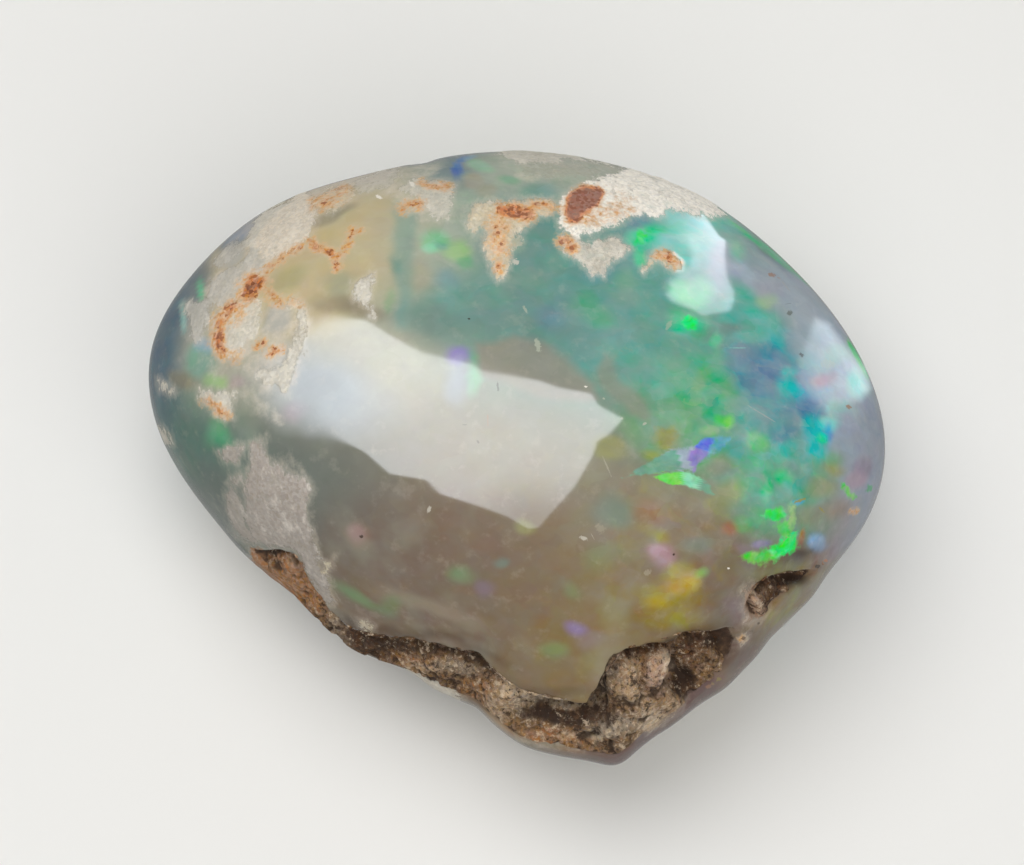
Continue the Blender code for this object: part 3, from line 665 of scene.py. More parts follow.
def outward(angle, down):
    step = 0.5
    along = shell(angle + step, down) - shell(angle - step, down)
    across = shell(angle, down + step) - shell(angle, down - step)
    return unit(np.cross(across, along))


def sunk(angle, down, depth):
    """The point under shell(angle, down), that far in from the surface."""
    return shell(angle, down) - outward(angle, down) * np.asarray(depth)[..., None]


def groove(angle):
    """Lip, rim, depth and thickness of sandstone at an angle."""
    stations = np.array(GROOVE, float).T
    return [np.interp(angle, stations[0], values, period=360) for values in stations[1:]]


def lumps(points, size, seed):
    """Smooth noise from -1 to 1, with lumps of that size."""
    table = np.random.default_rng(seed).uniform(-1, 1, (32, 32, 32))
    place = points / size
    cell = np.floor(place).astype(int)
    share = ease(0, 1, place - cell)
    total = 0
    for corner in np.ndindex(2, 2, 2):
        weight = np.prod(np.where(corner, share, 1 - share), -1)
        index = (cell + corner) % 32
        total = total + weight * table[index[..., 0], index[..., 1], index[..., 2]]
    return total


def rough(points, size, seed, layers=4):
    """Lumps with smaller lumps on them."""
    return sum(lumps(points, size / 2**n, seed + n) / 2**n for n in range(layers))


def grains(points, size, seed):
    """Rounded grains packed together: 1 at a grain's middle, 0 or less between grains."""
    table = np.random.default_rng(seed).uniform(0, 1, (32, 32, 32, 3))
    place = points / size
    cell = np.floor(place).astype(int)
    nearest = np.full(place.shape[:-1], np.inf)
    for corner in np.ndindex(3, 3, 3):
        other = cell + np.array(corner) - 1
        index = other % 32
        middle = other + table[index[..., 0], index[..., 1], index[..., 2]]
        nearest = np.minimum(nearest, np.linalg.norm(place - middle, axis=-1))
    return 1 - nearest / 0.75


RIGHT = np.array([1.0, 0.0, 0.0])
UP = np.array([0.0, np.cos(np.radians(TILT)), np.sin(np.radians(TILT))])
TOWARDS = np.array([0.0, -np.sin(np.radians(TILT)), np.cos(np.radians(TILT))])
FRAME_MIDDLE = (FRAME_SIZE[0] / 2, FRAME_SIZE[1] / 2)
DISTANCE = PIXEL * FRAME_SIZE[0] * LENS / SENSOR
CAMERA = (
    np.array(AXIS_POINT)
    + RIGHT * (FRAME_MIDDLE[0] - AXIS_PIXEL[0]) * PIXEL
    + UP * (AXIS_PIXEL[1] - FRAME_MIDDLE[1]) * PIXEL
    + TOWARDS * DISTANCE
)


def seen(points):
    """The photograph's pixel at which the camera sees each point."""
    from_camera = points - CAMERA
    away = -(from_camera @ TOWARDS)
    scale = DISTANCE / PIXEL / away
    x = FRAME_MIDDLE[0] + from_camera @ RIGHT * scale
    y = FRAME_MIDDLE[1] - from_camera @ UP * scale
    return np.stack([x, y], -1)


def ragged(pixels, points, amount, size, seed):
    """Pixels pushed about by noise, so that what is painted there has uneven edges."""
    push = [rough(points, size, seed, 3), rough(points, size, seed + 10, 3)]
    return pixels + amount * np.stack(push, -1)


def beside(pixels, route):
    """Distance from each pixel to an open line."""
    points = np.array(route, float)
    nearest = np.full(pixels.shape[:-1], np.inf)
    for start, end in zip(points, points[1:]):
        edge = end - start
        share = np.clip(((pixels - start) @ edge) / (edge @ edge), 0, 1)
        gap = pixels - start - share[..., None] * edge
        nearest = np.minimum(nearest, np.linalg.norm(gap, axis=-1))
    return nearest


def inside(pixels, outline):
    """How far each pixel is inside a closed outline, less than zero outside it."""
    corners = np.array(outline, float)
    crossings = np.zeros(pixels.shape[:-1], int)
    x, y = pixels[..., 0], pixels[..., 1]
    for start, end in zip(corners, np.roll(corners, -1, 0)):
        rise = (end - start)[1] or 1.0
        crosses = (start[1] <= y) != (end[1] <= y)
        crossings += crosses & (x < start[0] + (y - start[1]) / rise * (end - start)[0])
    nearest = beside(pixels, [*corners, corners[0]])
    return np.where(crossings % 2, nearest, -nearest)


def turned(pixels, x, y, half_length, half_width, turn=0):
    """Places along and across an oval, as shares of its half length and half width."""
    cos, sin = np.cos(np.radians(turn)), np.sin(np.radians(turn))
    right, below = pixels[..., 0] - x, pixels[..., 1] - y
    return (right * cos + below * sin) / half_length, (below * cos - right * sin) / half_width


def oval(pixels, *shape):
    """Distance from an oval's middle, as a share of its radius there."""
    return np.hypot(*turned(pixels, *shape))


def swell(places, *shape):
    """1 at an oval's middle, falling away smoothly past its edge."""
    return np.exp(-(oval(places, *shape) ** 2))


def swells(places, ovals):
    """The sum of swells, each given as an oval and its height."""
    return sum(height * swell(places, *shape) for *shape, height in ovals)


def spot(places, *shape, strength, soft):
    """The strength inside an oval, 0 outside. Softness 0 is a clear edge, 1 fades from the middle."""
    return strength * ease(1 + soft, 1 - soft, oval(places, *shape))


def patch(places, strength, soft, outline):
    """The strength inside an outline, 0 outside, with an edge that soft."""
    return strength * ease(-soft, soft, inside(places, outline))


def blended(places, zones):
    """Each zone's value, mixed smoothly by nearness."""
    weights = np.stack([swell(places, *shape) + 1e-9 for *shape, _ in zones], -1)
    values = [linear(zone[-1]) if isinstance(zone[-1], tuple) else zone[-1] for zone in zones]
    return (weights / weights.sum(-1, keepdims=True)) @ np.array(values)


def tinted(colours, colour, share):
    return colours + (linear(colour) - colours) * share[..., None]


def spotted(colours, places, spots):
    """Colours with spots over them."""
    for *shape, colour, strength, soft in spots:
        colours = tinted(colours, colour, spot(places, *shape, strength=strength, soft=soft))
    return colours


def spread(low, high, count, places, weights):
    """That many values from low to high, closer together where the weight is large."""
    fine = np.linspace(low, high, 6001)
    weight = np.interp(fine, places, weights)
    total = np.concatenate([[0], np.cumsum((weight[1:] + weight[:-1]) / 2)])
    return np.interp(np.linspace(0, total[-1], count), total, fine)


def mesh_object(name, vertices, faces, marks):
    """A smooth mesh, with each of marks stored on its points: numbers, or colours."""
    data = bpy.data.meshes.new(name)
    data.from_pydata((np.asarray(vertices) * MM).tolist(), [], faces)
    data.update()
    data.shade_smooth()
    for label, values in marks.items():
        if values.ndim == 2:
            layer = data.color_attributes.new(label, "FLOAT_COLOR", "POINT")
            full = np.concatenate([values, np.ones((len(values), 1))], 1)
            layer.data.foreach_set("color", full.astype(np.float32).ravel())
        else:
            layer = data.attributes.new(label, "FLOAT", "POINT")
            layer.data.foreach_set("value", values.astype(np.float32))
    piece = bpy.data.objects.new(name, data)
    bpy.context.collection.objects.link(piece)
    return piece


def loft_faces(rings, count):
    """Quads between closed rings of count points, and a fan to one more point at each end."""
    ring, i = np.meshgrid(np.arange(rings - 1), np.arange(count), indexing="ij")
    start = ring * count + i
    side = ring * count + (i + 1) % count
    quads = np.stack([start, start + count, side + count, side], -1).reshape(-1, 4)
    first, last = rings * count, rings * count + 1
    turn = np.arange(count)
    onward = (turn + 1) % count
    start_fan = np.stack([turn, onward, np.full(count, first)], -1)
    base = (rings - 1) * count
    end_fan = np.stack([base + onward, base + turn, np.full(count, last)], -1)
    return quads.tolist() + start_fan.tolist() + end_fan.tolist()


# The opal's mesh. Its columns are closer together along the groove: angles, and how much closer.
OPAL_COLUMNS = 500
COLUMN_ANGLES = (0, 190, 205, 312, 320, 342, 352, 360)
COLUMN_CLOSENESS = (1, 1, 1.5, 1.6, 1.5, 1.5, 1, 1)
FRONT_RINGS = 112
GROOVE_RINGS = 28
BACK_RINGS = 46
# How far the groove's lip and rim wander, in degrees down, and how rough its floor is.
LIP_JITTER, RIM_JITTER = 1.6, 1.2
GROOVE_ROUGHNESS = 0.12
POLISH_WAVE, POLISH_WAVE_SIZE = 0.003, 5.0
# A chip in the open margin: angle, degrees down, half width, half height, depth.
CHIP = (109.5, 74.0, 3.2, 12.0, 0.2)
# The chalky skin stands proud by this much, but not on the crown, above this height.
CHALK_THICKNESS, CHALK_LUMPS = 0.03, 0.04
CHALK_TOP = 19.0
# A speck is forgotten past this many pixels from its end. A point with no speck near has this for its place.
SPECK_REACH = 6
FAR_OFF = 9.0
RUST_PATCH_STRENGTH = 2.2
# The hidden side: how far marks stray there in pixels, its play of colour, how solid its chalk is.
HIDDEN_STRAY = 18
BACK_FIRE = 0.6
BACK_CHALK_SOLID = 0.8


def opal_grid():
    """Angle, degrees down and depth of every point of the opal, in rings from the front crown."""
    angles = spread(0, 360, OPAL_COLUMNS + 1, COLUMN_ANGLES, COLUMN_CLOSENESS)[:-1]
    lip, rim, depth, _ = groove(angles)
    near = shell(angles, lip)
    open_share = ease(0.0, 0.5, depth)
    lip = lip + LIP_JITTER * rough(near, 1.4, 11) * open_share
    rim = rim + RIM_JITTER * rough(near, 1.8, 21) * open_share
    flush = np.zeros_like(angles)
    rows = [(angles, lip * k / FRONT_RINGS, flush) for k in range(1, FRONT_RINGS)]
    wall = np.array(LIP_WALL)
    shares = np.concatenate([wall[:, 0], np.linspace(0.1, 1, GROOVE_RINGS - len(wall))])
    sinks = np.concatenate([wall[:, 1], np.interp(shares[len(wall):], *np.array(GROOVE_FLOOR).T)])
    for share, sink, even in zip(shares, sinks, np.linspace(0, 1, GROOVE_RINGS)):
        across = even + (share - even) * open_share
        rows.append((angles, lip + (rim - lip) * across, depth * sink))
    rows += [(angles, rim + (180 - rim) * k / BACK_RINGS, flush) for k in range(1, BACK_RINGS)]
    return [np.stack([row[n] for row in rows]) for n in range(3)]


def opal_points(angle, down, depth):
    """The surface with its polish waves, the groove's rough floor and the chip in its open margin."""
    whole = shell(angle, down)
    wave = POLISH_WAVE * lumps(whole, POLISH_WAVE_SIZE, 31)
    wave = wave + ease(0.05, 0.4, depth) * GROOVE_ROUGHNESS * rough(whole, 0.9, 41)
    chip = swells(np.stack([angle, down], -1), [CHIP])
    wave = wave + chip * (0.7 + 0.6 * rough(whole, 0.7, 51))
    return sunk(angle, down, depth + wave)


def fitted(points, node):
    """The points stretched by a hair to fill the solid's own box."""
    low, high = [np.array(corner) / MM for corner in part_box(node)]
    least, most = points.min(0), points.max(0)
    return low + (points - least) / (most - least) * (high - low)


def nearest_outline(pixels, shapes, limit):
    """For each pixel: the level in the outline it is deepest in, with that outline's values.

    No level is above the limit at its point, so that outlines end unevenly on the hidden side.
    """
    level = np.full(len(pixels), -3.0)
    share = np.zeros(len(pixels))
    tint = np.zeros((len(pixels), 3))
    for colour, strength, soft, outline in shapes:
        depth = np.minimum(np.clip(inside(pixels, outline) / soft, -3, 3), limit)
        nearer = depth > level
        level[nearer] = depth[nearer]
        share[nearer] = strength
        tint[nearer] = linear(colour)
    return level, share, tint


def rust_marks(pixels, plan, front):
    """How rusty each point is: 0 for none, and dark brown from about 1.4 up."""
    rust = np.zeros(len(pixels))
    for width, strength, route in RUST_LINES:
        rust = np.maximum(rust, strength * np.exp(-((beside(pixels, route) / width) ** 2)))
    for *shape, strength, soft in RUST_SPOTS:
        rust = rust + spot(pixels, *shape, strength=strength, soft=soft)
    rust = np.maximum(rust, RUST_PATCH_STRENGTH * ease(-5, 4, inside(pixels, RUST_PATCH)))
    *shape, strength, soft = RUST_HOLLOW
    rust = rust + spot(pixels, *shape, strength=strength, soft=soft)
    return rust * front + sum(swell(plan, *shape) for shape in BACK_RUST) * (1 - front)


def speck_marks(pixels, front):
    """Each point's place in the speck nearest to it, and that speck's colour and strength."""
    nearest = np.full(len(pixels), np.inf)
    place = np.full((len(pixels), 3), FAR_OFF)
    tint = np.zeros((len(pixels), 3))
    strengths = np.zeros(len(pixels))
    for x, y, half_length, half_width, turn, colour, strength in SPECKS:
        along, across = turned(pixels, x, y, half_length, half_width, turn)
        away = np.hypot(along * half_length, across * half_width) - half_length
        nearer = (away < nearest) & (away < 3 * SPECK_REACH) & (front > 0.5)
        nearest[nearer] = away[nearer]
        far = ease(SPECK_REACH, 2 * SPECK_REACH, away)
        place[nearer] = np.stack([along, across, far], -1)[nearer]
        tint[nearer] = linear(colour)
        strengths[nearer] = strength
    return place, tint, strengths


def opal_marks(points, normals, depth):
    """What is painted on the opal: colours with some painted shadow and reflections among them, and where
    its skin, stains, specks and fire are.
    """
    pixels = seen(points)
    plan = points[:, :2]
    facing = normals @ TOWARDS
    hidden = ease(0.1, -0.3, facing)[:, None]
    pixels = pixels * (1 - hidden) + ragged(pixels, points, HIDDEN_STRAY, 3.0, 161) * hidden
    front = ease(-0.45, -0.02, facing + 0.12 * rough(points, 4.0, 157))
    limit = np.clip(6 * (facing + 0.2 + 0.16 * rough(points, 3.0, 151)), -3, 3)
    uneven = ragged(pixels, points, 6, 2.2, 101)
    close = ragged(pixels, points, 2.5, 0.9, 131)

    tint = spotted(blended(uneven, ZONES), uneven, SPOTS)
    # The outlined patches include two painted dim reflections.
    for colour, *shape in PATCHES:
        tint = tinted(tint, colour, patch(uneven, *shape))
    # Stains, with painted shadow under the lip and a painted glint on the lower rim.
    tint = spotted(tint, close, STAINS_LIP_SHADOW_AND_GLINT)
    back = spotted(blended(plan, BACK_ZONES), plan, BACK_SPOTS)
    tint = tint * front[:, None] + back * (1 - front[:, None])
    fire = blended(pixels, FIRE) * front + BACK_FIRE * (1 - front)

    flake, flake_share, flake_tint = nearest_outline(close, SHARDS, limit)
    skins = [(colour, solid, 1 / PIXEL, outline) for solid, colour, outline in CHALK_PATCHES]
    chalk, solid, chalk_tint = nearest_outline(pixels, skins, limit)
    for x, y, half_width, half_height in BACK_CHALK:
        level = (1 - oval(plan, x, y, half_width, half_height)) * min(half_width, half_height)
        nearer = (level > chalk) & (front < 0.5)
        chalk[nearer] = level[nearer]
        solid[nearer] = BACK_CHALK_SOLID
        chalk_tint[nearer] = linear(PAPER)
    veil = np.max([patch(uneven, *shape) for shape in VEILS], 0)
    speck, speck_tint, speck_share = speck_marks(pixels, front)
    # The groove's crust takes the sandstone's tints, with their painted shadow under the lip.
    crust_tint = spotted(np.tile(linear(SAND_BROWN), (len(points), 1)), close, STONE_TINTS)
    return {
        "tint": tint, "fire": fire, "flake": flake, "flake_share": flake_share, "flake_tint": flake_tint,
        "chalk": chalk, "solid": solid, "chalk_tint": chalk_tint, "veil": veil * front,
        "rust": rust_marks(pixels, plan, front), "speck": speck, "speck_tint": speck_tint,
        "speck_share": speck_share, "crust": ease(0.1, 0.4, depth), "crust_tint": crust_tint,
    }


def make_opal():
    angle, down, depth = opal_grid()
    rings, count = angle.shape
    tips = np.stack([shell(0, 0), shell(0, 180)])
    normals = np.concatenate([outward(angle, down).reshape(-1, 3), [[0, 0, 1], [0, 0, -1]]])
    plain = np.concatenate([sunk(angle, down, depth).reshape(-1, 3), tips])
    marks = opal_marks(plain, normals, np.concatenate([depth.ravel(), [0, 0]]))
    skin = ease(-0.1, 0.25, marks["chalk"]) * marks["solid"]
    relief = skin * (CHALK_THICKNESS + CHALK_LUMPS * rough(plain, 0.6, 111)) * (plain[:, 2] < CHALK_TOP)
    whole = np.concatenate([opal_points(angle, down, depth).reshape(-1, 3), tips])
    vertices = fitted(whole + normals * relief[:, None], "opal_clam")
    piece = mesh_object("polished_opal", vertices, loft_faces(rings, count), marks)
    piece.data.materials.append(opal_material())
    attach(piece, "root")
    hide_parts("opal_clam")


# The sandstone: name, the solid it replaces, and its first and last angle along the groove.
STONES = (
    ("hinge_sandstone_rough", "hinge_sandstone", 203.5, 312.5),
    ("pit_sandstone_rough", "pit_sandstone", 319.8, 332.2),
)
# Its mesh: points across its top and its underside, and the step along a groove of this reach.
STONE_POINTS = 84
STONE_UNDER = 14
STONE_STEP = 0.075
GROOVE_REACH = 14.5
# Its sides, as shares of the groove's width, how far it is sunk in the opal, and its clearance in the box.
STONE_SIDES = (-0.05, 1.04)
STONE_SUNK = 1.0
BOX_CLEARANCE = 0.02
# It leaves this share of the width clear under the lip, and less in places, by pixel: middle, half width,
# half height, change.
LIP_CLEAR = 0.34
STONE_TO_LIP = ((285, 565, 40, 34, -0.28), (622, 668, 34, 30, -0.28), (756, 602, 20, 20, -0.28))
# Its bumps and its packed grains: height, size, seed.
STONE_BUMPS = ((0.16, 1.4, 61), (0.2, 0.5, 71))
STONE_COBBLES = ((0.08, 1.0, 121), (0.16, 0.5, 141))


def groove_line(angles, shares):
    """Angle, degrees down and depth of the groove's floor, at shares of its width."""
    lip, rim, depth, _ = groove(angles)
    down = lip + (rim - lip) * shares
    floor = depth * np.interp(shares, *np.array(GROOVE_FLOOR).T)
    return np.broadcast_to(angles, down.shape), down, floor


def stone_relief(places, felt):
    """The level for the painted shade in the hollows of the sandstone, and its relief in millimetres."""
    bumps = sum(height * rough(places, size, seed, 3) for height, size, seed in STONE_BUMPS)
    for height, size, seed in STONE_COBBLES:
        bumps = bumps + height * (np.maximum(grains(places, size, seed), -0.3) - 0.2)
    bumps = bumps * (1 - 0.5 * felt)
    grain = np.maximum(grains(places, 0.32, 81), -0.3)
    fine = np.maximum(grains(places, 0.18, 91), -0.2)
    return bumps / 0.3 + grain, bumps + 0.15 * grain + 0.07 * fine


def stone_cover(angle, shares, along, pixels, relief):
    """Thickness of the sandstone over the groove's floor, and how far its sides dip under."""
    thickness = groove(angle)[3]
    cover = thickness * (0.25 + 0.9 * np.sin(np.pi * np.clip(shares, 0, 1)) ** 0.7)
    cover = cover + swells(pixels, STONE_LUMPS)
    cover = cover * ease(-0.02, LIP_CLEAR + swells(pixels, STONE_TO_LIP), shares)
    ends = ease(0, 0.04, along) * ease(1, 0.96, along)
    tuck = 0.45 * (1 - ease(-0.05, 0.02, shares)) + 0.5 * ease(0.9, 1.04, shares)
    return cover * ends + relief - tuck - 0.4 * (1 - ends), tuck


def make_sandstone(name, node, first, last):
    """Sandstone lying in the groove from the first angle to the last, rough on top."""
    sections = int(GROOVE_REACH * np.radians(last - first) / STONE_STEP)
    angles = np.linspace(first, last, sections)[:, None]
    shares = np.linspace(*STONE_SIDES, STONE_POINTS)
    angle, down, floor = groove_line(angles, shares)
    whole = shell(angle, down)
    pixels = seen(whole)
    height, relief = stone_relief(whole, swell(pixels, *STONE_FELT))
    cover, tuck = stone_cover(angle, shares, (angle - first) / (last - first), pixels, relief)
    top = sunk(angle, down, floor - np.minimum(cover, floor + 0.12 - 0.5 * tuck))
    angle, down, floor = groove_line(angles, np.linspace(*STONE_SIDES[::-1], STONE_UNDER))
    loops = np.concatenate([top, sunk(angle, down, floor + STONE_SUNK)], 1)
    tips = np.stack([loops[0].mean(0), loops[-1].mean(0)])
    low, high = np.array(cad_box) / MM
    vertices = np.concatenate([loops.reshape(-1, 3), tips])
    vertices = np.clip(vertices, low + BOX_CLEARANCE, high - BOX_CLEARANCE)

    pixels = seen(vertices)
    close = ragged(pixels, vertices, 3, 0.9, 131)
    height = np.concatenate([height, np.zeros(floor.shape)], 1).ravel()
    # Its tints hold painted shadow under the lip and painted shade in its hollows; its height level drives
    # painted shade in the hollows.
    marks = {
        "tint": spotted(np.tile(linear(SAND), (len(vertices), 1)), close, STONE_TINTS),
        "height": np.concatenate([height, [0, 0]]), "felt": swell(pixels, *STONE_FELT),
    }
    piece = mesh_object(name, vertices, loft_faces(sections, STONE_POINTS + STONE_UNDER), marks)
    piece.data.materials.append(sandstone_material())
    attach(piece, "root")
    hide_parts(node)


def add(tree, kind, inputs=None, **settings):
    """A shader node. Its inputs are values, or other nodes' outputs, by name or number."""
    made = tree.nodes.new(kind)
    for name, value in settings.items():
        setattr(made, name, value)
    for name, value in (inputs or {}).items():
        if isinstance(value, bpy.types.NodeSocket):
            tree.links.new(value, made.inputs[name])
        else:
            made.inputs[name].default_value = value
    return made


def painted(colour):
    """A colour as a shader takes it, unless it is another node's output already."""
    return colour if isinstance(colour, bpy.types.NodeSocket) else (*linear(colour), 1)


def mixed(tree, share, first, second):
    """First, going to second as share goes to 1."""
    inputs = {0: share, 6: painted(first), 7: painted(second)}
    return add(tree, "ShaderNodeMix", inputs, data_type="RGBA", clamp_factor=True).outputs[2]


def sums(tree, operation, *values):
    return add(tree, "ShaderNodeMath", dict(enumerate(values)), operation=operation).outputs[0]


def times(tree, first, second):
    return sums(tree, "MULTIPLY", first, second)


def plus(tree, first, second):
    return sums(tree, "ADD", first, second)


def eased(tree, value, low, high, start=0.0, end=1.0):
    """Start where the value is low or less, end where it is high or more."""
    inputs = {"Value": value, "From Min": low, "From Max": high, "To Min": start, "To Max": end}
    return add(tree, "ShaderNodeMapRange", inputs, interpolation_type="SMOOTHSTEP").outputs[0]


def stored(tree, name):
    return add(tree, "ShaderNodeAttribute", attribute_name=name)


def level_of(tree, name):
    return stored(tree, name).outputs["Fac"]


def colour_of(tree, name):
    return stored(tree, name).outputs["Color"]


def speckle(tree, place, size, detail=3.0, roughness=0.5, shift=0.0):
    """Cloudy noise with features of that size in millimetres."""
    inputs = {"Vector": place, "W": shift, "Scale": 1 / (size * MM)}
    inputs.update({"Detail": detail, "Roughness": roughness})
    return add(tree, "ShaderNodeTexNoise", inputs, noise_dimensions="4D")


def cloudy(tree, *noise):
    """The level of such noise, from 0 to 1."""
    return speckle(tree, *noise).outputs["Fac"]


def cells(tree, place, size):
    """Cells of that size in millimetres, each with a colour of its own."""
    inputs = {"Vector": place, "Scale": 1 / (size * MM)}
    return add(tree, "ShaderNodeTexVoronoi", inputs, feature="F1").outputs["Color"]


def stretched(tree, place, scale, turn):
    return add(tree, "ShaderNodeMapping", {"Vector": place, "Rotation": turn, "Scale": scale}).outputs[0]


def warped(tree, place, size, amount):
    """Places pushed about by noise, so that what is drawn there has uneven edges."""
    noise = speckle(tree, place, size).outputs["Color"]
    for operation, inputs in (
        ("SUBTRACT", {1: (0.5, 0.5, 0.5)}), ("SCALE", {"Scale": amount * MM}), ("ADD", {1: place}),
    ):
        noise = add(tree, "ShaderNodeVectorMath", {0: noise, **inputs}, operation=operation).outputs[0]
    return noise


def played(tree, colour, noise, strength, hue, saturation, value):
    """The colour with small changes of hue, saturation and value, following the noise's own colour."""
    parts = add(tree, "ShaderNodeSeparateColor", {0: noise})
    changed = []
    for part, base, amount in ((0, 0.5, hue), (1, 1.0, saturation), (2, 1.0, value)):
        centred = sums(tree, "SUBTRACT", parts.outputs[part], 0.5)
        scaled = times(tree, centred, times(tree, strength, amount))
        changed.append(plus(tree, scaled, base))
    inputs = {"Hue": changed[0], "Saturation": changed[1], "Value": changed[2], "Color": painted(colour)}
    return add(tree, "ShaderNodeHueSaturation", inputs).outputs[0]


def new_material(name):
    material = bpy.data.materials.new(name)
    material.use_nodes = True
    tree = material.node_tree
    return material, tree, tree.nodes["Principled BSDF"]


def opal_colour(tree, place):
    """The play of colour: patches with uneven edges, brighter flashes, milky and smoky clouds, flakes."""
    fire = level_of(tree, "fire")
    uneven = warped(tree, stretched(tree, place, (0.88, 1.14, 1.0), (0.3, 0.2, 0.9)), 1.3, 1.1)
    broad = speckle(tree, uneven, 1.3, 2.0, 0.5).outputs["Color"]
    small = speckle(tree, uneven, 0.55, 2.0, 0.5, 1.0).outputs["Color"]
    facets = cells(tree, warped(tree, uneven, 0.5, 0.35), 0.95)
    colour = played(tree, colour_of(tree, "tint"), broad, fire, 0.15, 1.6, 0.5)
    colour = played(tree, colour, facets, fire, 0.03, 0.2, 0.12)
    colour = played(tree, colour, small, fire, 0.05, 0.6, 0.3)

    flash_noise = cloudy(tree, uneven, 0.8, 2.0, 0.5, 2.0)
    flash_share = times(tree, eased(tree, flash_noise, 0.56, 0.68, 0.0, 0.4), fire)
    brighter = {"Saturation": 1.4, "Value": 1.2, "Color": colour}
    flash = add(tree, "ShaderNodeHueSaturation", brighter).outputs[0]
    colour = mixed(tree, flash_share, colour, flash)

    cloud = cloudy(tree, place, 3.0, 3.0, 0.5, 3.0)
    colour = mixed(tree, eased(tree, cloud, 0.5, 0.75, 0.0, 0.2), colour, PEARL)
    dim = cloudy(tree, place, 2.2, 3.0, 0.5, 4.0)
    colour = mixed(tree, eased(tree, dim, 0.52, 0.8, 0.0, 0.2), colour, SMOKE)

    flake_noise = cloudy(tree, place, 0.35, 3.0, 0.6, 5.0)
    flake_edge = plus(tree, level_of(tree, "flake"), eased(tree, flake_noise, 0.25, 0.75, -0.8, 0.8))
    flake_tint = played(tree, colour_of(tree, "flake_tint"), small, 1.0, 0.16, 0.8, 0.8)
    flake_share = times(tree, eased(tree, flake_edge, -0.8, 1.0), level_of(tree, "flake_share"))
    return mixed(tree, flake_share, colour, flake_tint)


def chalky(tree, place, colour):
    """Cloudy veils and the chalky skin over the colour, and how much skin there is."""
    fibres = stretched(tree, place, (1.3, 0.6, 1.0), (0.0, 0.0, 0.25))
    feather = cloudy(tree, fibres, 0.8, 7.0, 0.72, 7.0)
    stipple = cloudy(tree, place, 0.15, 4.0, 0.7, 8.0)
    cloud = cloudy(tree, place, 0.8, 5.0, 0.62, 9.0)
    grain = cells(tree, place, 0.15)

    level = plus(tree, level_of(tree, "chalk"), eased(tree, feather, 0.3, 0.7, -0.2, 0.2))
    halo = times(tree, eased(tree, level, -0.4, 0.1, 0.0, 0.4), level_of(tree, "solid"))
    veil = plus(tree, level_of(tree, "veil"), eased(tree, cloud, 0.3, 0.7, -0.3, 0.25))
    veil = sums(tree, "MAXIMUM", halo, eased(tree, veil, 0.05, 1.05, 0.0, 0.82))
    haze = played(tree, CLOUD, grain, 1.0, 0.01, 0.3, 0.12)
    colour = mixed(tree, veil, colour, haze)

    level = plus(tree, level, eased(tree, stipple, 0.3, 0.7, -0.08, 0.08))
    worn = eased(tree, cloud, 0.34, 0.46, 0.72, 1.0)
    share = times(tree, eased(tree, level, -0.06, 0.1), worn)
    share = times(tree, share, level_of(tree, "solid"))
    tint = played(tree, colour_of(tree, "chalk_tint"), grain, 1.0, 0.01, 0.3, 0.25)
    tint = mixed(tree, eased(tree, feather, 0.52, 0.68, 0.0, 0.4), tint, WHITE)
    tint = mixed(tree, eased(tree, feather, 0.48, 0.36, 0.0, 0.35), tint, TAUPE)
    tint = mixed(tree, eased(tree, stipple, 0.58, 0.7, 0.0, 0.45), tint, TAUPE)
    return mixed(tree, share, colour, tint), share


def rusty(tree, place, colour):
    """Rust in grains over the colour."""
    near = level_of(tree, "rust")
    noise = cloudy(tree, place, 0.5, 6.0, 0.7, 11.0)
    grain = cells(tree, place, 0.17)
    own = add(tree, "ShaderNodeSeparateColor", {0: grain}).outputs[0]
    level = plus(tree, near, eased(tree, noise, 0.3, 0.7, -0.45, 0.4))
    halo = times(tree, eased(tree, level, -0.2, 0.8, 0.0, 0.5), eased(tree, near, 0.03, 0.3))
    colour = mixed(tree, halo, colour, PINK_RUST)
    mottled = plus(tree, level, eased(tree, own, 0.0, 1.0, -0.2, 0.2))
    share = times(tree, eased(tree, mottled, 0.1, 1.0, 0.0, 0.85), eased(tree, near, 0.05, 0.25))
    tint = mixed(tree, eased(tree, mottled, 0.5, 1.3), YELLOW_RUST, RUST)
    tint = mixed(tree, eased(tree, mottled, 1.4, 1.95), tint, BROWN_RED)
    tint = played(tree, tint, grain, 1.0, 0.02, 0.3, 0.3)
    colour = mixed(tree, share, colour, tint)
    dark = plus(tree, eased(tree, own, 0.55, 1.0, 0.0, 0.75), eased(tree, level, 0.4, 1.3, -0.3, 0.6))
    dark = times(tree, eased(tree, dark, 0.7, 0.9, 0.0, 0.7), eased(tree, near, 0.1, 0.4))
    return mixed(tree, dark, colour, BROWN_RED)


def specked(tree, place, colour):
    """Specks and scratches over the colour."""
    along, across, far = add(tree, "ShaderNodeSeparateColor", {0: colour_of(tree, "speck")}).outputs
    squares = plus(tree, times(tree, along, along), times(tree, across, across))
    noise = cloudy(tree, place, 0.12, 3.0, 0.6, 19.0)
    reach = plus(tree, sums(tree, "SQRT", squares), eased(tree, noise, 0.25, 0.75, -0.4, 0.4))
    shown = times(tree, eased(tree, reach, 1.15, 0.65), eased(tree, far, 0.3, 0.0))
    shown = times(tree, shown, level_of(tree, "speck_share"))
    return mixed(tree, shown, colour, colour_of(tree, "speck_tint"))


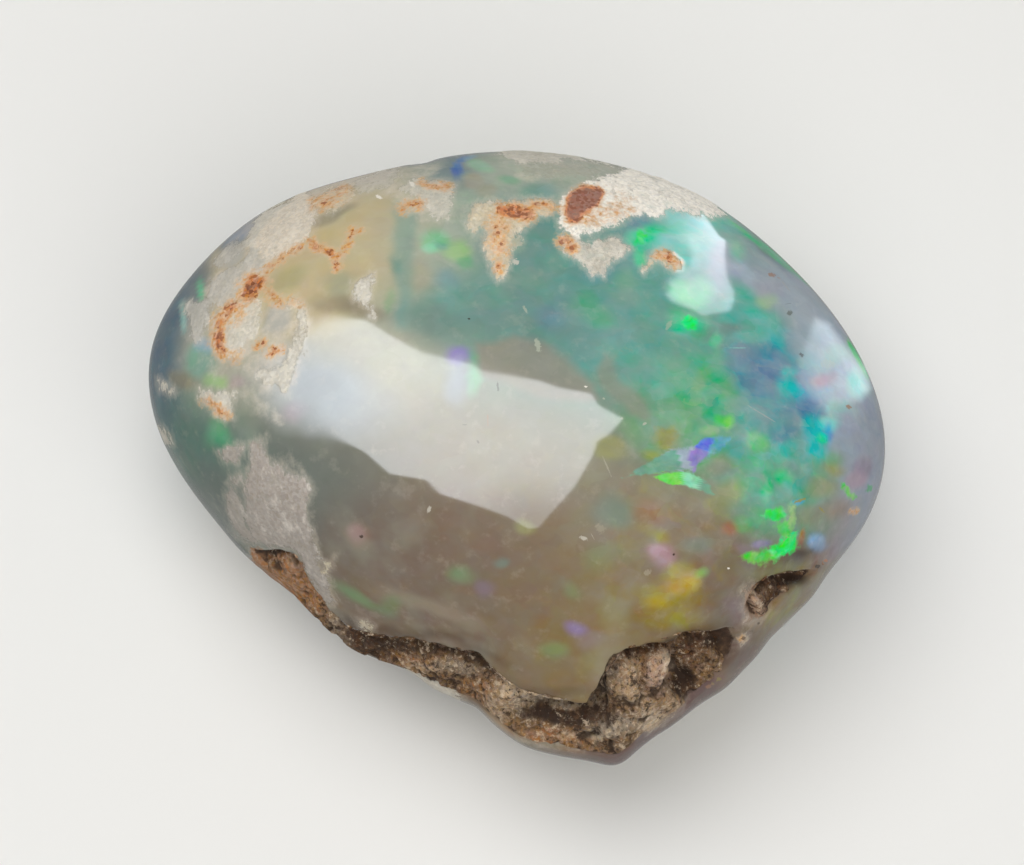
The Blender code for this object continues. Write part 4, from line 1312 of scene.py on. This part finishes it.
def opal_material():
    material, tree, shader = new_material("opal")
    place = add(tree, "ShaderNodeTexCoord").outputs["Object"]
    colour, chalk = chalky(tree, place, opal_colour(tree, place))
    colour = specked(tree, place, rusty(tree, place, colour))

    crust_noise = cloudy(tree, place, 0.8, 6.0, 0.7, 13.0)
    crust_level = plus(tree, level_of(tree, "crust"), eased(tree, crust_noise, 0.3, 0.7, -0.3, 0.3))
    crust = eased(tree, crust_level, 0.3, 0.6)
    crust_dark = eased(tree, crust_noise, 0.4, 0.56, 0.0, 0.8)
    crust_tint = mixed(tree, crust_dark, colour_of(tree, "crust_tint"), SAND_DARK_AND_SHADE)
    colour = mixed(tree, crust, colour, crust_tint)
    tree.links.new(colour, shader.inputs["Base Color"])

    matt = sums(tree, "MAXIMUM", chalk, crust)
    smudge = cloudy(tree, place, 4.0, 4.0, 0.6, 15.0)
    polish = eased(tree, smudge, 0.3, 0.8, 0.045, 0.10)
    gloss = add(tree, "ShaderNodeMix", {0: matt, 2: polish, 3: 0.55}, data_type="FLOAT").outputs[0]
    tree.links.new(gloss, shader.inputs["Roughness"])
    shader.inputs["IOR"].default_value = 1.45

    grain = cloudy(tree, place, 0.18, 5.0, 0.7, 17.0)
    height = times(tree, grain, times(tree, matt, 0.06))
    bump = add(tree, "ShaderNodeBump", {"Height": height, "Distance": MM, "Strength": 0.8})
    tree.links.new(bump.outputs[0], shader.inputs["Normal"])
    return material


def sandstone_material():
    material, tree, shader = new_material("sandstone")
    place = add(tree, "ShaderNodeTexCoord").outputs["Object"]
    height = level_of(tree, "height")
    grain = cells(tree, warped(tree, place, 0.2, 0.1), 0.16)
    colour = played(tree, colour_of(tree, "tint"), grain, 1.0, 0.02, 0.4, 0.5)
    rock = cloudy(tree, place, 0.28, 7.0, 0.76)
    blotch = cloudy(tree, place, 0.9, 5.0, 0.7, 6.0)
    stain = cloudy(tree, place, 0.9, 5.0, 0.65, 3.0)
    colour = mixed(tree, eased(tree, stain, 0.52, 0.7, 0.0, 0.3), colour, SAND_ORANGE)
    bright = plus(tree, rock, eased(tree, blotch, 0.35, 0.65, -0.07, 0.07))
    coarse = eased(tree, level_of(tree, "felt"), 0.3, 0.9, 1.0, 0.25)
    light_share = times(tree, eased(tree, bright, 0.54, 0.64, 0.0, 0.65), coarse)
    dark_share = times(tree, eased(tree, bright, 0.48, 0.4, 0.0, 0.9), coarse)
    colour = mixed(tree, light_share, colour, SAND_BRIGHT)
    colour = mixed(tree, dark_share, colour, SAND_DARK_AND_SHADE)
    # Painted shade: darker where the level is low, in the hollows.
    colour = mixed(tree, eased(tree, height, 0.25, -0.5, 0.0, 0.85), colour, SAND_DARK_AND_SHADE)
    tree.links.new(colour, shader.inputs["Base Color"])
    shader.inputs["Roughness"].default_value = 0.85
    bits = cloudy(tree, place, 0.12, 4.0, 0.7, 5.0)
    bump = add(tree, "ShaderNodeBump", {"Height": bits, "Distance": 0.06 * MM, "Strength": 0.9})
    tree.links.new(bump.outputs[0], shader.inputs["Normal"])
    return material


# Bright cards that the polish reflects: strength, colour, the outline of the reflection in the photograph,
# then where it is dimmer, and where its edge is softer by so many pixels.
REFLECTIONS = (
    ("overhead_card", 10.5, (246, 250, 255), (
        (292, 345), (312, 326), (330, 318), (366, 320), (391, 336), (423, 353), (448, 359), (470, 364),
        (482, 371), (513, 376), (540, 381), (559, 388), (592, 394), (598, 405), (623, 419), (608, 436),
        (598, 441), (593, 455), (575, 487), (550, 515), (539, 528), (528, 529), (508, 517), (478, 506),
        (440, 494), (426, 480), (390, 474), (365, 452), (324, 432), (288, 425), (272, 405), (276, 372),
    ), ((300, 385, 60, 60, -0.5), (540, 520, 60, 40, -0.5)), (
        (278, 388, 46, 50, 26), (300, 425, 36, 20, 12), (320, 322, 24, 20, 8),
    )),
    ("back_card", 8.0, (240, 242, 255), (
        (668, 216), (690, 214), (708, 220), (719, 236), (726, 241), (725, 255), (727, 277), (734, 292),
        (734, 302), (730, 311), (717, 313), (704, 316), (692, 309), (682, 306), (672, 302), (666, 295),
        (674, 290), (668, 282), (680, 275), (690, 268), (694, 255), (682, 235),
    ), ((680, 222, 26, 34, -0.7), (678, 292, 16, 16, -0.2)), (
        (668, 230, 26, 40, 12), (684, 312, 20, 10, 2),
    )),
    ("side_card", 3.5, (236, 250, 255), (
        (815, 319), (827, 324), (844, 348), (861, 370), (868, 389), (861, 400), (844, 403), (823, 405),
        (802, 396), (796, 374), (809, 338),
    ), (), ((835, 370, 60, 60, 8),)),
)
# How far away they are, their mesh's step and end in degrees down, and their margin and edge in pixels.
CARD_DISTANCE = 250.0
CARD_STEP, CARD_DOWN = 0.75, 86
CARD_MARGIN = 8
CARD_SOFTNESS = 1.2


def reflection_card(name, strength, colour, outline, dimmer, softer):
    """A glowing card whose mirror image in the shell fills the outline."""
    turns, downs = np.arange(0, 360, CARD_STEP), np.arange(0, CARD_DOWN, CARD_STEP)
    angle, down = np.meshgrid(turns, downs, indexing="ij")
    points = shell(angle, down)
    pixels = seen(points)
    edge = inside(pixels, outline)
    back = unit(CAMERA - points)
    from_crown = np.minimum(down / CARD_STEP, 1)[..., None]
    upright = np.array([0, 0, 1]) * (1 - from_crown)
    normal = unit(outward(angle, np.maximum(down, CARD_STEP)) * from_crown + upright)
    mirrored = 2 * np.sum(normal * back, -1, keepdims=True) * normal - back
    far = points + mirrored * CARD_DISTANCE
    glow = np.ones(edge.shape) + swells(pixels, dimmer)
    soft = CARD_SOFTNESS + swells(pixels, softer)
    columns, rows = edge.shape
    i, k = np.meshgrid(np.arange(columns), np.arange(rows - 1), indexing="ij")
    side = (i + 1) % columns
    start, across = i * rows + k, side * rows + k
    faces = np.stack([start, across, across + 1, start + 1], -1).reshape(-1, 4)
    kept = faces[((edge + soft).ravel()[faces] > -CARD_MARGIN).all(1)]
    used, renumbered = np.unique(kept, return_inverse=True)
    marks = {"edge": (edge / soft).ravel()[used], "glow": glow.ravel()[used]}
    card = mesh_object(name, far.reshape(-1, 3)[used], renumbered.reshape(-1, 4).tolist(), marks)
    card.data.materials.append(card_material(name, strength, colour))
    for ray in ("camera", "diffuse", "shadow", "transmission"):
        setattr(card, f"visible_{ray}", False)


def card_material(name, strength, colour):
    material = bpy.data.materials.new(name)
    material.use_nodes = True
    tree = material.node_tree
    tree.nodes.clear()
    lit = eased(tree, level_of(tree, "edge"), -1.0, 1.0)
    power = times(tree, level_of(tree, "glow"), strength)
    light = add(tree, "ShaderNodeEmission", {"Color": painted(colour), "Strength": power}).outputs[0]
    clear = add(tree, "ShaderNodeBsdfTransparent").outputs[0]
    shown = add(tree, "ShaderNodeMixShader", {0: lit, 1: clear, 2: light}).outputs[0]
    add(tree, "ShaderNodeOutputMaterial", {"Surface": shown})
    material.cycles.emission_sampling = "NONE"
    return material


FLOOR_HALF = 1500.0
FLOOR_COLOUR = (231, 230, 227)
ROOM_COLOUR = (232, 232, 230)
# How bright the room is to the camera, and as a light.
ROOM_SEEN, ROOM_LIGHT = 0.8, 0.4
# Lamps: name, width, power in watts, middle.
LAMPS = (("key", 260.0, 0.5, (-60.0, 40.0, 300.0)), ("fill", 300.0, 0.44, (60.0, -180.0, 240.0)))


def make_floor():
    corners = [(x * FLOOR_HALF, y * FLOOR_HALF, 0) for x, y in ((-1, -1), (1, -1), (1, 1), (-1, 1))]
    floor = mesh_object("floor", corners, [(0, 1, 2, 3)], {})
    material, _, shader = new_material("pale_floor")
    shader.inputs["Base Color"].default_value = painted(FLOOR_COLOUR)
    shader.inputs["Roughness"].default_value = 0.9
    floor.data.materials.append(material)
    floor.visible_glossy = False


def make_room():
    world = bpy.data.worlds.new("studio")
    bpy.context.scene.world = world
    world.use_nodes = True
    tree = world.node_tree
    background = tree.nodes["Background"]
    ray = add(tree, "ShaderNodeLightPath")
    background.inputs["Color"].default_value = painted(ROOM_COLOUR)
    to_camera = times(tree, ray.outputs["Is Camera Ray"], ROOM_SEEN - ROOM_LIGHT)
    tree.links.new(plus(tree, to_camera, ROOM_LIGHT), background.inputs["Strength"])


def make_lamp(name, size, power, place):
    """A round lamp there, facing the fossil."""
    data = bpy.data.lights.new(name, "AREA")
    data.shape = "DISK"
    data.size = size * MM
    data.energy = power
    light = bpy.data.objects.new(name, data)
    bpy.context.collection.objects.link(light)
    light.location = [value * MM for value in place]
    away = unit(np.array(place) - np.array(AXIS_POINT))
    light.rotation_euler = (np.arccos(away[2]), 0.0, np.arctan2(away[1], away[0]) + np.pi / 2)
    light.visible_glossy = False


def make_camera():
    data = bpy.data.cameras.new("camera")
    data.lens = LENS
    data.sensor_width = SENSOR
    data.clip_start = 1 * MM
    camera = bpy.data.objects.new("camera", data)
    bpy.context.collection.objects.link(camera)
    camera.location = CAMERA * MM
    camera.rotation_euler = (np.radians(TILT), 0, 0)
    bpy.context.scene.camera = camera


make_camera()
make_opal()
for stone in STONES:
    make_sandstone(*stone)
make_floor()
make_room()
for lamp in LAMPS:
    make_lamp(*lamp)
for reflection in REFLECTIONS:
    reflection_card(*reflection)
bpy.context.scene.view_settings.view_transform = "Standard"
